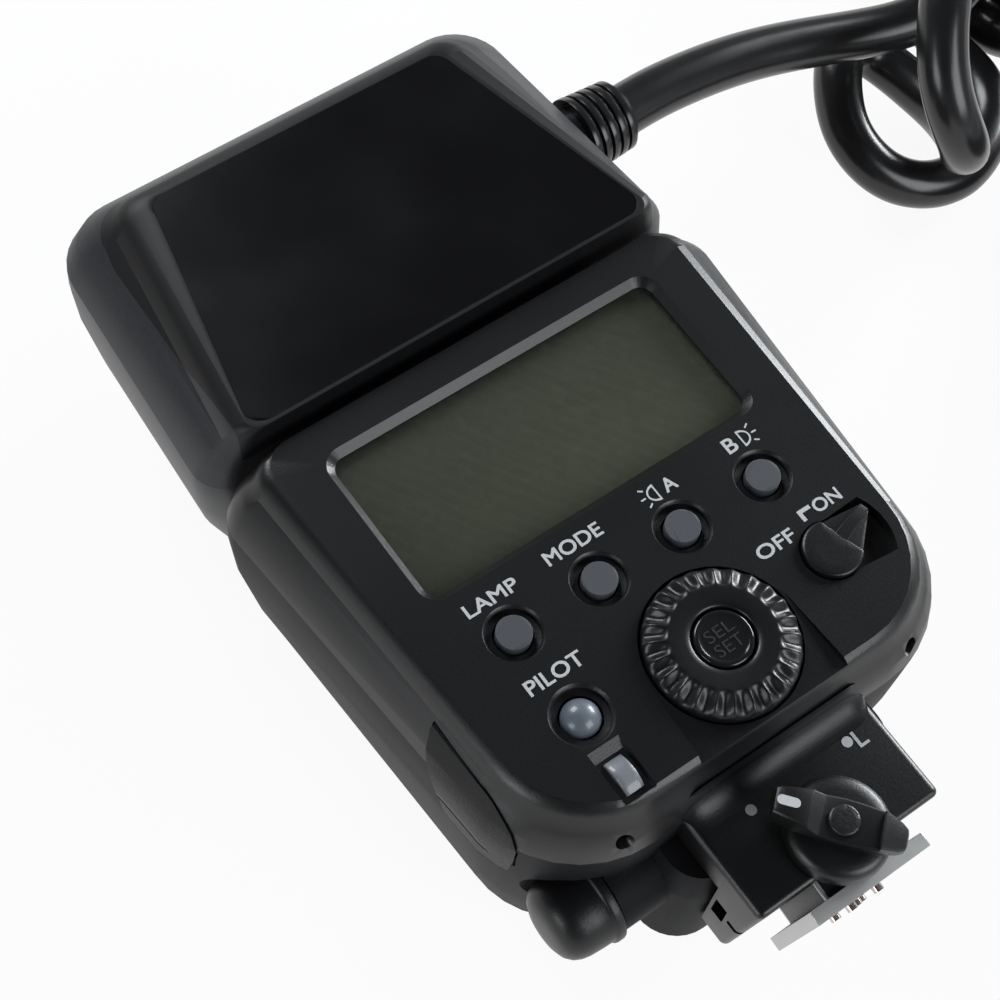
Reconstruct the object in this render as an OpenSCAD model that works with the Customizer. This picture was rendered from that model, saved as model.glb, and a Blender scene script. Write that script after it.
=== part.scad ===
// Macro ring flash: a control unit with an accessory shoe foot, a ring head and the curly cord
// between them. The control unit lies with its display up, on its front housing.
// The origin is the middle of the shoe plate's underside: +X to the cord side, +Y from the shoe
// to the head, +Z out of the display.

/* [Control unit] */
// Distance from the shoe's underside to the middle of the display
display_y = 70.6; // [66:0.2:80]
// Height of the control panel above the middle of the shoe
panel_z = 17.4; // [16.6:0.1:19]
// Width of the flat control panel at the head end
face_w = 66.4; // [64:0.2:70]
// Width of the body at its parting line
body_w = 80.4; // [79:0.2:84]
// How much narrower the body is at the shoe end
body_taper = 7.4; // [6:0.2:8]
// Distance from the middle of the display to the body's head end
body_top = 18.8; // [18.4:0.1:20]
// Distance from the middle of the display to the body's shoe end
body_bottom = 51.5; // [51:0.1:53]
// Depth from the panel down to the parting line
parting_depth = 9; // [8.8:0.1:10]
// Depth from the panel to the front face that the unit lies on
body_depth = 46; // [45:0.2:52]
// Thickness of the housing walls
wall = 2.2; // [1.6:0.1:2.4]
// Thickness of the control panel
panel_t = 2.2; // [1.8:0.1:2.4]

/* [Head] */
// Length of the head
head_len = 47.2; // [44:0.2:54]
// Gap between the body and the head
head_gap = 0.8; // [0.5:0.1:1.2]
// Width of the head at its parting line
head_w = 78.6; // [74:0.2:84]
// How much narrower the head is at its far end
head_taper = 4; // [0:0.2:8]
// Height of the head's face above the control panel, at the body's end
head_rise = 2.4; // [1:0.1:4]
// Depth from the control panel down to the head's parting line
head_parting = 10; // [9:0.1:11]
// Depth from the control panel to the head's front face
head_depth = 43; // [36:0.2:45]
// Thickness of the glossy panel on the head
head_panel_t = 0.8; // [0.5:0.1:1.2]

/* [Display] */
// Width of the bevelled display opening at the panel's surface
display_w = 54.4; // [46:0.2:56]
// Height of the bevelled display opening at the panel's surface
display_h = 25.6; // [20:0.2:26]
// Width of the bevel round the display
display_bevel = 1.1; // [0.6:0.1:1.5]
// Thickness of the clear display window
window_t = 0.9; // [0.6:0.1:1.1]

/* [Buttons and dial] */
// Distance of the button row below the middle of the display
button_row = 21.4; // [20.5:0.1:22.5]
// Spacing of the four buttons
button_pitch = 13.6; // [10:0.1:14.5]
// Diameter of a button
button_d = 4.8; // [4.5:0.1:5.6]
// Height of a button above the panel
button_h = 0.3; // [0.2:0.1:1]
// Travel of a pressed button
button_travel = 0.6; // [0.3:0.1:0.7]
// Diameter of the pilot button's lens
pilot_d = 5.3; // [4.8:0.1:5.8]
// Distance of the pilot button to the left of the middle
pilot_x = 19.9; // [19:0.1:21]
// Distance of the pilot button below the middle of the display
pilot_y = 35; // [34.5:0.1:35.2]
// Distance of the dial's axis to the right of the middle
dial_x = 0.8; // [0:0.1:1.2]
// Distance of the dial's axis below the middle of the display
dial_y = 37.2; // [36.5:0.1:38.5]
// Diameter of the dial over its teeth
dial_d = 21; // [18:0.2:22]
// Height of the dial above the panel
dial_h = 2.4; // [1.5:0.1:4]
// Number of teeth round the dial
dial_teeth = 24; // [20:1:40]
// Diameter of the button in the middle of the dial
set_d = 8; // [6:0.1:9]
// Distance of the power lever's axis to the right of the middle
power_x = 21.2; // [20.6:0.1:22.5]
// Distance of the power lever's axis below the middle of the display
power_y = 34.9; // [34.5:0.1:36]
// Diameter of the power lever's knob
power_d = 8.2; // [8:0.1:9.4]

/* [Shoe] */
// Width of the shoe plate
plate_w = 18.6; // [18.4:0.1:18.7]
// Length of the shoe plate
plate_l = 18; // [17:0.1:18.4]
// Thickness of the shoe plate
plate_t = 2; // [1.9:0.05:2.1]
// Height of the neck between the shoe plate and the foot block
neck_h = 2.6; // [2.2:0.1:3.2]
// Width of the neck between the shoe plate and the foot block
neck_w = 12.4; // [11:0.1:12.6]
// Lean of the shoe against the panel, in degrees
foot_tilt = 7.3; // [0:0.1:9]
// Width of the foot block
foot_w = 30; // [26:0.2:34]
// Diameter of the locking pin
lock_pin_d = 2; // [1.4:0.1:2.2]
// Diameter of the lock lever's hub
lock_hub_d = 14; // [12:0.2:16]

/* [Battery bay] */
// Inner length of the battery bay, across the unit
bay_l = 54; // [53:0.2:55]
// Inner height and depth of the bay, two cells each way
bay_s = 29.6; // [29:0.1:30]
// Thickness of the battery door
door_t = 2.4; // [2:0.1:2.8]
// Diameter of the battery door's hinge pin
door_pin_d = 1.4; // [1:0.1:1.8]

/* [Cord] */
// Diameter of the cord
cord_d = 8; // [6:0.1:8.2]
// Mean radius of a curl
curl_r = 10.5; // [9:0.1:10.6]
// Length that each curl takes along the coil
curl_pitch = 9; // [8.8:0.1:9.4]
// Number of curls in the coil
curl_count = 8; // [2:1:8]

/* [Ring head] */
// Outer diameter of the ring head
ring_d = 112; // [108:0.2:118]
// Diameter of the lens opening through the ring head
lens_d = 67; // [58:0.2:70]
// Height of the ring head over its diffusers
ring_h = 25; // [22:0.2:30]
// Radial width of the diffusers
diffuser_w = 13; // [9:0.1:14]
// Travel of a release button
release_travel = 2; // [1:0.1:2.4]

/* [Fits] */
// Radial clearance of a turning shaft in its bore
running_fit = 0.06; // [0.03:0.01:0.1]
// Clearance round pieces that move past each other
moving_gap = 0.3; // [0.25:0.05:0.4]

/* [Hidden] */
$fn = 64;
EPS = 0.01;

black = [0.05, 0.05, 0.055];
satin = [0.09, 0.09, 0.095];
gloss = [0.02, 0.02, 0.022];
grey = [0.42, 0.43, 0.45];
steel = [0.62, 0.62, 0.64];
copper = [0.72, 0.45, 0.28];
green = [0.08, 0.26, 0.14];
clear = [0.8, 0.85, 0.9, 0.5];
white = [0.9, 0.9, 0.88];

// Levels below the panel
panel_under = -panel_t;
pad_under = panel_under - 2;
board_t = 1.6;
board_top = -parting_depth + 0.4 + board_t;
board_under = board_top - board_t;

// Shoulder of the rear shells: share of the way out, share of the way down
shoulder = [[1, 1], [0.86, 0.67], [0.6, 0.44], [0.42, 0.31], [0.32, 0.155], [0.18, 0.055], [0, 0]];
// Belly of the front shells: share of the way in, share of the way down
belly = [[1, 1], [0.5, 0.84], [0.24, 0.57], [0.06, 0.3], [0, 0.1], [0, 0]];

// Outlines as [half width at the head end, half width at the shoe end, high y, low y, radii]
parting_line = [body_w / 2, (body_w - body_taper) / 2, body_top, -body_bottom, 6, 17];
face_line = [face_w / 2, face_w / 2 - 1.4, body_top - 1.4, -body_bottom + 4.1, 4, 14];
front_line = [body_w / 2 - 10.8, body_w / 2 - 11.2, body_top - 6, -body_bottom + 4, 10, 11];
head_low = body_top + head_gap;
head_high = head_low + head_len;
head_line = [(head_w - head_taper) / 2, head_w / 2, head_high, head_low, 9, 5];
head_face_line = [head_w / 2 - 14, head_w / 2 - 6.6, head_high - 7.5, head_low - 0.1, 2, 2];
panel_rim = 0.55;
panel_r = 2.7;
panel_line = [head_face_line[0] - panel_rim, head_face_line[1] - panel_rim, head_face_line[2] - panel_rim,
    head_face_line[3] + panel_rim, panel_r, panel_r];
head_front_line = [head_w / 2 - 10.6, head_w / 2 - 10.6, head_high - 8, head_low + 3, 10, 10];

function mix(a, b, s) = a + (b - a) * s;

function arc(c, r, a0, a1, n = 8) =
    [for (i = [0:n]) c + r * [cos(mix(a0, a1, i / n)), sin(mix(a0, a1, i / n))]];

// A closed outline with round corners, its first half width at high y and its second at low y
function outline(o) = concat(
    arc([o[1] - o[5], o[3] + o[5]], o[5], -90, 0),
    arc([o[0] - o[4], o[2] - o[4]], o[4], 0, 90),
    arc([-o[0] + o[4], o[2] - o[4]], o[4], 90, 180),
    arc([-o[1] + o[5], o[3] + o[5]], o[5], 180, 270));

function inset(o, t) =
    [o[0] - t, o[1] - t, o[2] - t, o[3] + t, max(o[4] - t, 0.4), max(o[5] - t, 0.4)];

function round_rect(w, h, r) = outline([w / 2, w / 2, h / 2, -h / 2, r, r]);

function lift(points, z) = [for (p = points) [p[0], p[1], z]];

// The outline between lines a (above) and b (below) at shoulder entry s
function between(a, b, s, high, low) = lift(outline(mix(a, b, s[0])), mix(high, low, s[1]));

// A solid through stacked closed rings, from the lowest ring up
module loft(rings) {
    n = len(rings[0]);
    last = len(rings) - 1;
    sides = [for (k = [0:last - 1], i = [0:n - 1])
        let (a = k * n + i, b = k * n + (i + 1) % n) each [[a, a + n, b + n], [a, b + n, b]]];
    floor_face = [[for (i = [0:n - 1]) i]];
    roof_face = [[for (i = [n - 1:-1:0]) last * n + i]];
    polyhedron([for (r = rings) each r], concat(floor_face, sides, roof_face), convexity = 6);
}

// Cord route: points from the gland to the coil, in the display's frame, then from coil to ring
lead_points = [
    [47, 42.5, -12], [54.5, 43, -12.5], [64.5, 43, -14], [74, 42.5, -16], [83.5, 41, -18],
    [93, 39, -20], [101.5, 37, -21], [108.5, 36, -20.5], [114.5, 36.5, -17.5], [117, 37, -12],
    [114, 37, -6], [107.5, 35, -3], [101, 31, -3], [97, 27, -5], [94.5, 23, -8.5],
    [93, 19, -12], [93.5, 15.5, -16.5], [95.5, 13.5, -21.5], [99, 15, -27.5], [104, 19.5, -32.5],
    [107, 25.5, -35.5], [107.5, 33, -37], [106.5, 40, -37], [103.5, 44, -35], [99.5, 44, -32],
    [95.5, 41.5, -31], [92.5, 37.5, -32.5], [90.5, 32.5, -35], [91, 27, -37.5], [94, 22, -40],
    [99.5, 18.5, -41.5], [106, 17.5, -42], [113, 20, -42], [119, 24.5, -42]];
tail_points = [[193.5, 68, -41.5], [200, 75, -40], [210, 76.5, -38], [219, 70.5, -36],
    [223.5, 60, -35], [222, 47, -34.5], [215, 35, -34.5]];
coil_start = [121.5, 39, -42];
coil_axis = [0.98, 0.2, 0] / norm([0.98, 0.2, 0]);
coil_side = cross([0, 0, 1], coil_axis);
coil_centre = coil_start + [0, 0, curl_r];
coil_rise = curl_pitch / 360;
coil_tangent = (curl_pitch / (2 * PI) * coil_axis + curl_r * coil_side)
    / norm(curl_pitch / (2 * PI) * coil_axis + curl_r * coil_side);

function coil_point(a) = coil_centre + a * coil_rise * coil_axis
    + curl_r * (sin(a) * coil_side - cos(a) * [0, 0, 1]);

coil_end = coil_point(360 * curl_count);
curl_rings = 8;
coil_path = concat([coil_start - cord_d * coil_tangent],
    [for (k = [0:curl_rings * curl_count]) coil_point(360 * k / curl_rings)],
    [coil_end + cord_d * coil_tangent]);

// Smooth curve through points: four neighbours weigh in on each stretch
function curve_at(a, b, c, d, s) = 0.5 * (2 * b + (c - a) * s
    + (2 * a - 5 * b + 4 * c - d) * pow(s, 2) + (3 * b - a - 3 * c + d) * pow(s, 3));

function smooth(p, steps) = let (q = concat([2 * p[0] - p[1]], p, [2 * p[len(p) - 1] - p[len(p) - 2]]))
    concat([for (i = [1:len(p) - 1], k = [0:steps - 1])
        curve_at(q[i - 1], q[i], q[i + 1], q[i + 2], k / steps)], [p[len(p) - 1]]);

function unit(v) = v / norm(v);

function tangent(p, i) = unit(p[min(i + 1, len(p) - 1)] - p[max(i - 1, 0)]);

// Side directions carried along a path without twisting
function carried(p, i, u) = i == len(p) ? []
    : let (t = tangent(p, i), v = unit(u - (u * t) * t)) concat([v], carried(p, i + 1, v));

module tube(p, d, sides) {
    normals = carried(p, 0, [0, 0.2, 1]);
    rings = [for (i = [0:len(p) - 1])
        let (t = tangent(p, i), u = normals[i], v = cross(t, u))
        [for (k = [0:sides - 1]) p[i] + d / 2 * (cos(360 * k / sides) * u + sin(360 * k / sides) * v)]];
    loft(rings);
}

// Least distance between points of a path that are more than a given number of points apart
function least_gap(p, apart) = min([for (i = [0:len(p) - 1], j = [i + apart:1:len(p) - 1])
    norm(p[i] - p[j])]) - cord_d;

lead_path = smooth(concat(lead_points, [coil_start - cord_d * coil_tangent]), 3);
ring_axis_x = 150;
ring_axis_y = 20.5;
ring_floor = panel_z - body_depth;
gland_turn = 45;
ring_gland_l = 14;
ring_gland_z = 11;
ring_exit = [ring_axis_x, ring_axis_y, ring_floor + ring_gland_z]
    + (ring_d / 2 + ring_gland_l) * [cos(gland_turn), sin(gland_turn), 0];
ring_exit_in_display = ring_exit - [0, display_y, panel_z];
tail_path = smooth(concat([coil_end + cord_d * coil_tangent], tail_points,
    [ring_exit_in_display + cord_d * [cos(gland_turn), sin(gland_turn), 0], ring_exit_in_display]), 3);

echo(least_gap_between_curls = least_gap(coil_path, 6));
echo(least_gap_of_the_lead = least_gap(lead_path, 12));

// Frames that the pieces are drawn in
module at_display() {
    translate([0, display_y, panel_z]) children();
}

module at_foot() {
    rotate([foot_tilt, 0, 0]) children();
}

module at_ring() {
    translate([ring_axis_x, ring_axis_y, ring_floor]) children();
}

module block(low, high) {
    translate(low) cube(high - low);
}

// Places shared by the panel and what shows through it
button_places = [for (i = [0:3]) [(i - 1.5) * button_pitch, -button_row]];
pilot_place = [-pilot_x, -pilot_y];
dial_place = [dial_x, -dial_y];
power_place = [power_x, -power_y];
ready_place = [-20.1, -44.1];
ready_w = 2.9;
ready_h = 5;
pilot_top = 0.9;
key_flange = 1.1;
key_flange_t = 0.9;
key_flange_top = panel_under - moving_gap;
dial_floor = -1.8;
dial_hub_d = set_d + 2 * moving_gap + 2.4;
power_shaft_d = 3.2;
board_posts = [[-26, -16.8], [26, -16.8], [-25.5, -29.2], [25.5, -29.2]];
post_d = 4.4;

// Hole of a key: a bore that guides it, and a dished well round it
module key_hole(d) {
    well_d = d + 2.4;
    well_floor = -1;
    bevel = 0.45;
    cylinder(d = d + 2 * moving_gap, h = 3 * panel_t, center = true);
    translate([0, 0, well_floor]) cylinder(d = well_d, h = panel_t);
    translate([0, 0, -bevel]) cylinder(d1 = well_d, d2 = well_d + 2 * bevel, h = bevel + EPS);
}

// Sunk frame of the ready lamp, with a long slope at the pilot's end
module ready_frame() {
    floor_z = -0.8;
    low = ready_place - [ready_w / 2 + 0.7, ready_h / 2 + 0.7];
    high = ready_place + [ready_w / 2 + 0.7, ready_h / 2 + 0.5];
    slope = 1.5;
    side = 0.3;
    loft([[[low[0], low[1], floor_z], [high[0], low[1], floor_z], [high[0], high[1], floor_z],
            [low[0], high[1], floor_z]],
        [[low[0] - side, low[1] - side, EPS], [high[0] + side, low[1] - side, EPS],
            [high[0] + side, high[1] + slope, EPS], [low[0] - side, high[1] + slope, EPS]]]);
}

// Strip that falls away from the dial to the shoe end, so that a finger reaches the teeth
module dial_strip() {
    half = dial_d / 2 + moving_gap + 0.4;
    fall = 4;
    start = 1.3;
    reach = body_bottom - dial_y + 6;
    translate(dial_place + [0, start]) rotate([fall, 0, 0]) linear_extrude(4)
        polygon([[-half, 1], [-half - 1.2, -reach], [half + 1.2, -reach], [half, 1]]);
}

// Battery bay, its door in the right side and the door's hinge at the head end
bay_mid_y = -25.2;
door_face = 28.6;
bay_low = [door_face - bay_l, bay_mid_y - bay_s / 2, -body_depth + wall + 0.8];
bay_high = bay_low + [bay_l, bay_s, bay_s];
case_high_z = bay_high[2] + 2.6;
door_gap = 0.25;
door_low = bay_low[1] - 2.6;
door_high = bay_high[1] + 3;
door_bottom = bay_low[2] - 1.2;
door_roof = bay_high[2] + 1.2;
knuckle_d = 3.4;
hinge_x = body_w / 2 - 3;
hinge_y = door_high - knuckle_d / 2;
hinge_high = min(door_roof, -parting_depth - 1.2) - 0.6;
hinge_low = hinge_high - 14;
lug_l = 3.6;
lug_gap = 0.3;
lug_floors = [hinge_low, hinge_high - lug_l];

// Chin of the front shell, behind the foot block
chin_w = 38;
chin_low = -60;
chin_high = -46;
chin_roof = -14.4;
chin_floor = -42;

// Round socket barrel at the lower left, with its pull-off cap
barrel_y = -50.4;
barrel_z = -22.4;
barrel_d = 11.8;
barrel_face = -body_w / 2 + 14.8;
cap_d = barrel_d + 1.4;
cap_l = 8.6;
spigot_d = 7;
spigot_l = 5;

module along_barrel(x) {
    translate([x, barrel_y, barrel_z]) rotate([0, -90, 0]) children();
}

module chin() {
    mid = [0, (chin_low + chin_high) / 2];
    tall = chin_high - chin_low;
    levels = [[chin_floor, 5], [chin_floor + 2, 2.2], [chin_floor + 6, 0], [chin_roof - 5, 0],
        [chin_roof, 1.2]];
    loft([for (l = levels) let (ring = round_rect(chin_w - 2 * l[1], tall - 2 * l[1], 6.5 - l[1]))
        lift([for (p = ring) p + mid], l[0])]);
}

// Outer skin of the body, both shells, grown outward
module rear_skin(grow) {
    loft([for (s = shoulder)
        between(inset(face_line, -grow), inset(parting_line, -grow), s, 0, -parting_depth)]);
}

module front_skin(grow) {
    loft([for (s = belly) between(inset(parting_line, -grow), inset(front_line, -grow), s,
        -parting_depth, -body_depth)]);
}

module body_inner() {
    difference() {
        loft([for (s = belly) between(inset(parting_line, wall), inset(front_line, wall), s,
            -parting_depth + EPS, -body_depth + wall)]);
        block([-body_w, -2 * body_bottom, -2 * body_depth],
            [body_w, door_high + door_gap + wall, case_high_z]);
        side_wall();
    }
}

module bay() {
    translate([bay_low[0], bay_mid_y, bay_low[2] + bay_s / 2]) rotate([90, 0, 90])
        linear_extrude(bay_l + wall) polygon(round_rect(bay_s, bay_s, bay_s / 4));
}

// Terminal cover: a leaf set into the left side across the parting line, with a plug behind it
cover_floor = -body_w / 2 + 5.6;
cover_proud = 0.4;
cover_leaf = [[-24.8, -3.4], [-31.5, -17.4], [-45.6, -17.4], [-45.8, -8], [-42.6, -4]];
plug_mid = [-38, -12.8];
plug_w = 9;
plug_h = 5;
plug_l = 2.4;

module leaf(x0, x1, grow) {
    translate([x0, 0, 0]) rotate([90, 0, 90]) linear_extrude(x1 - x0) offset(r = grow) polygon(cover_leaf);
}

module plug_box(grow, x0, x1) {
    block([x0, plug_mid[0] - plug_w / 2 - grow, plug_mid[1] - plug_h / 2 - grow],
        [x1, plug_mid[0] + plug_w / 2 + grow, plug_mid[1] + plug_h / 2 + grow]);
}

// Solid wall left behind the terminal cover
module side_wall() {
    block([-body_w, cover_leaf[4][0] - 6, -parting_depth - 12],
        [cover_floor + wall, cover_leaf[0][0] + 3, 0]);
    plug_box(wall, cover_floor, cover_floor + plug_l + moving_gap + 0.4 + wall);
}

// Foot block: a step up behind the chin, and a base over the shoe
foot_face = -8;
seat_gap = 0.04;
foot_depth = 19;
foot_seat = -body_bottom + 1.2;
foot_base = chin_low - seat_gap;
hub_y = 6.9;
hub_z = foot_face + panel_z;
lock_shaft_d = 4.4;
case_screw_x = body_w / 2 - 16.6;

module foot_seat_cut() {
    block([-foot_w / 2 - seat_gap, -2 * body_bottom, chin_roof + seat_gap],
        [foot_w / 2 + seat_gap, foot_seat, EPS + foot_face]);
}

module case_screw_line(d, l) {
    for (x = [-case_screw_x, case_screw_x])
        translate([x, -body_bottom + 7, -parting_depth + 3.2])
            rotate([90, 0, 0]) cylinder(d = d, h = l);
}

module rear_shell() {
    color(satin) at_display() difference() {
        union() {
            difference() {
                rear_skin(0);
                difference() {
                    loft([lift(outline(inset(parting_line, wall)), -parting_depth - EPS),
                        lift(outline(inset(mix(face_line, parting_line, 0.5), wall)), -parting_depth * 0.5),
                        lift(outline(inset(face_line, wall * 0.6)), panel_under)]);
                    side_wall();
                }
            }
            translate([dial_place[0], dial_place[1], pad_under])
                cylinder(d = dial_hub_d + 5, h = -pad_under - panel_t / 2);
            translate([power_place[0], power_place[1], pad_under])
                cylinder(d = power_shaft_d + 5, h = -pad_under - panel_t / 2);
            for (p = board_posts)
                translate([p[0], p[1], board_top]) cylinder(d = post_d, h = -board_top - panel_t / 2);
        }
        loft([lift(round_rect(display_w - 2 * display_bevel, display_h - 2 * display_bevel, 2), -3 * panel_t),
            lift(round_rect(display_w - 2 * display_bevel, display_h - 2 * display_bevel, 2), -display_bevel),
            lift(round_rect(display_w + 2 * EPS, display_h + 2 * EPS, 3), EPS)]);
        translate([0, 0, panel_under - EPS])
            linear_extrude(window_t + EPS) polygon(round_rect(display_w + 0.6, display_h + 0.6, 2.4));
        for (p = button_places) translate(p) key_hole(button_d);
        translate(pilot_place) key_hole(pilot_d);
        ready_frame();
        dial_strip();
        translate([dial_place[0], dial_place[1], dial_floor])
            cylinder(d = dial_d + 2 * moving_gap, h = panel_t);
        translate(dial_place) cylinder(d = dial_hub_d + 2 * running_fit, h = 6 * panel_t, center = true);
        translate([power_place[0], power_place[1], dial_floor]) {
            cylinder(d = power_d + 2 * moving_gap, h = panel_t);
            power_sweep();
        }
        translate(power_place) cylinder(d = power_shaft_d + 2 * running_fit, h = 6 * panel_t, center = true);
        block([ready_place[0] - ready_w / 2, ready_place[1] - ready_h / 2, -3 * panel_t],
            [ready_place[0] + ready_w / 2, ready_place[1] + ready_h / 2, panel_t]);
        foot_seat_cut();
        leaf(-body_w, cover_floor, moving_gap);
        case_screw_line(2.4, 30);
    }
}

// Pocket that the power lever's pointer swings through
power_rest = 18;
power_swing = 40;
power_tip = power_d / 2 + 4.4;
power_tip_w = 2.6;
power_root_w = power_d - 0.6;

function turned(p, a) = [p[0] * cos(a) - p[1] * sin(a), p[0] * sin(a) + p[1] * cos(a)];

module power_sweep() {
    reach = power_tip + moving_gap;
    spread = asin((power_tip_w / 2 + moving_gap) / reach);
    low = power_rest - power_swing;
    linear_extrude(panel_t) polygon(concat(
        [turned([0, -power_root_w / 2 - moving_gap], low)],
        [for (i = [0:12]) let (a = low - spread + i / 12 * (power_swing + 2 * spread))
            reach * [cos(a), sin(a)]],
        [turned([0, power_root_w / 2 + moving_gap], power_rest)]));
}

module front_shell() {
    color(satin) at_display() difference() {
        union() {
            difference() {
                union() {
                    front_skin(0);
                    chin();
                    along_barrel(-chin_w / 2 + 4) cylinder(d = barrel_d, h = -chin_w / 2 + 4 - barrel_face);
                }
                body_inner();
                bay();
                block([door_face, door_low - door_gap, door_bottom - door_gap],
                    [body_w, door_high + door_gap, door_roof + door_gap]);
                along_barrel(barrel_face) cylinder(d = cap_d + 2 * moving_gap, h = 20);
                leaf(-body_w, cover_floor, moving_gap);
                plug_box(moving_gap, cover_floor - 1, cover_floor + plug_l + moving_gap + 0.4);
                foot_seat_cut();
                case_screw_line(2.4, 5);
            }
            neck_pad();
            door_lugs();
            along_barrel(barrel_face + EPS) cylinder(d = spigot_d, h = spigot_l);
        }
        along_barrel(barrel_face - 1) cylinder(d = spigot_d - 2, h = spigot_l + 1);
    }
}

module sync_cap() {
    color(satin) at_display() along_barrel(barrel_face - moving_gap) difference() {
        rotate_extrude() polygon(concat([[0, 0], [cap_d / 2, 0], [cap_d / 2, cap_l * 0.4]],
            [for (i = [1:6]) [cap_d / 2 * cos(12 * i), cap_l * (0.4 + 0.6 * sin(15 * i))]], [[0, cap_l]]));
        translate([0, 0, -EPS]) cylinder(d = spigot_d + 2 * running_fit, h = spigot_l + 0.2);
    }
}

module sync_contact() {
    color(copper) at_display() along_barrel(barrel_face - 1) {
        cylinder(d = spigot_d - 2, h = 0.6);
        cylinder(d = 1.6, h = 3.4);
    }
}

module neck_pad() {
    block([-27, body_top - wall + 0.3, -20], [27, head_low, -parting_depth - 3]);
}

module at_hinge(z) {
    translate([hinge_x, hinge_y, z]) children();
}

module door_lugs() {
    for (z = lug_floors) at_hinge(z) difference() {
        union() {
            cylinder(d = knuckle_d, h = lug_l);
            block([-knuckle_d / 2, 0, 0], [knuckle_d / 4, door_high + door_gap - hinge_y + EPS, lug_l]);
        }
        translate([0, 0, -1]) cylinder(d = door_pin_d, h = lug_l + 2);
    }
}

module battery_door() {
    lug_room = knuckle_d / 2 + lug_gap;
    rim = 2;
    color(satin) at_display() difference() {
        union() {
            difference() {
                intersection() {
                    front_skin(0);
                    block([door_face + door_gap, door_low, door_bottom], [body_w, hinge_y, door_roof]);
                }
                intersection() {
                    front_skin(-door_t);
                    block([door_face, door_low + rim, door_bottom + rim],
                        [body_w, hinge_y - 2 * rim, door_roof - rim]);
                }
            }
            at_hinge(hinge_low + lug_l + lug_gap)
                cylinder(d = knuckle_d, h = hinge_high - hinge_low - 2 * (lug_l + lug_gap));
        }
        at_hinge(hinge_low - 1) cylinder(d = door_pin_d + 2 * running_fit, h = hinge_high - hinge_low + 2);
        for (z = lug_floors) at_hinge(z)
            block([-lug_room, -lug_room, -lug_gap], [body_w, lug_room, lug_l + lug_gap]);
    }
}

module battery_door_pin() {
    color(steel) at_display() at_hinge(hinge_low + 0.2)
        cylinder(d = door_pin_d, h = hinge_high - hinge_low - 0.4);
}

module battery_contacts() {
    side = bay_s - 0.8;
    cell = bay_s / 4;
    color(copper) at_display()
        translate([bay_low[0], bay_mid_y, bay_low[2] + bay_s / 2]) rotate([90, 0, 90]) {
            linear_extrude(0.6) polygon(round_rect(side, side, cell - 0.4));
            for (u = [-cell, cell], v = [-cell, cell]) translate([u, v, 0]) cylinder(d = 5, h = 3);
        }
}

module terminal_cover() {
    color(black) at_display() difference() {
        union() {
            intersection() {
                leaf(-body_w, cover_floor - 0.1, 0);
                union() {
                    rear_skin(cover_proud);
                    front_skin(cover_proud);
                }
            }
            plug_box(0, cover_floor - 0.2, cover_floor + plug_l);
        }
        block([-body_w, cover_leaf[2][0] + 4, -parting_depth - 0.4],
            [-body_w / 2 + 1.2, cover_leaf[0][0] - 7, -parting_depth + 0.4]);
    }
}

module terminal_socket() {
    color(gloss) at_display()
        plug_box(moving_gap, cover_floor + plug_l + moving_gap, cover_floor + plug_l + moving_gap + 0.4);
}

module head_rear_cover() {
    color(satin) at_display() difference() {
        loft(concat(head_rings(head_face_line, head_line),
            [head_ring(panel_line, 0), head_ring(panel_line, -head_panel_t)]));
        loft([lift(outline(inset(head_line, wall)), -head_parting - EPS),
            lift(outline(inset(mix(head_face_line, head_line, 0.5), wall)), -head_parting * 0.5),
            lift(outline(inset(head_face_line, 1)), -wall - head_panel_t)]);
        gland_notch();
    }
}

// A ring of the head's face, which rises toward the body, moved up or down
function head_ring(o, dz) = [for (p = outline(o))
    [p[0], p[1], dz + head_rise * (head_high - p[1]) / head_len]];

function head_rings(face, parting) = [for (s = shoulder) [for (p = outline(mix(face, parting, s[0])))
    [p[0], p[1], mix(head_rise * (head_high - p[1]) / head_len, -head_parting, s[1])]]];

module head_panel() {
    color(gloss) at_display()
        loft([head_ring(inset(panel_line, seat_gap), -head_panel_t),
            head_ring(inset(panel_line, seat_gap), 0.05)]);
}

module head_front_cover() {
    color(satin) at_display() difference() {
        loft([for (s = belly) between(head_line, head_front_line, s, -head_parting, -head_depth)]);
        loft([for (s = belly) between(inset(head_line, wall), inset(head_front_line, wall), s,
            -head_parting + EPS, -head_depth + wall)]);
        gland_bore();
    }
}

// Strain relief on the head's right side
gland_y = 42.5;
gland_z = -12;
gland_start = head_w / 2 - 0.6;
gland_d = cord_d + 4.2;
gland_neck_d = cord_d + 0.8;

module gland_bore() {
    translate([head_w / 2 - 8, gland_y, gland_z]) rotate([0, 90, 0]) cylinder(d = gland_neck_d + 0.1, h = 12);
}

// Square notch over the neck, in the rear cover
module gland_notch() {
    half = gland_neck_d / 2 + seat_gap;
    block([head_w / 2 - 8, gland_y - half, -head_parting - 1],
        [head_w / 2 + 4, gland_y + half, gland_z + half]);
}

module gland_ribs(l, ribs) {
    step = l / ribs;
    cylinder(d = gland_d - 2.4, h = l);
    for (i = [0:ribs - 1])
        translate([0, 0, i * step]) cylinder(d = gland_d - 0.25 * i, h = step * 0.62);
}

module cord_gland() {
    exit_x = lead_points[0][0];
    color(black) at_display() translate([0, gland_y, gland_z]) rotate([0, 90, 0]) {
        translate([0, 0, gland_start]) gland_ribs(exit_x - gland_start, 5);
        translate([0, 0, head_w / 2 - 6]) cylinder(d = gland_neck_d, h = 7);
    }
}

module cord_lead() {
    color(black) at_display() tube(lead_path, cord_d, 8);
}

module cord_curls() {
    color(black) at_display() tube(coil_path, cord_d, 6);
}

module cord_tail() {
    color(black) at_display() tube(tail_path, cord_d, 8);
}

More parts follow.
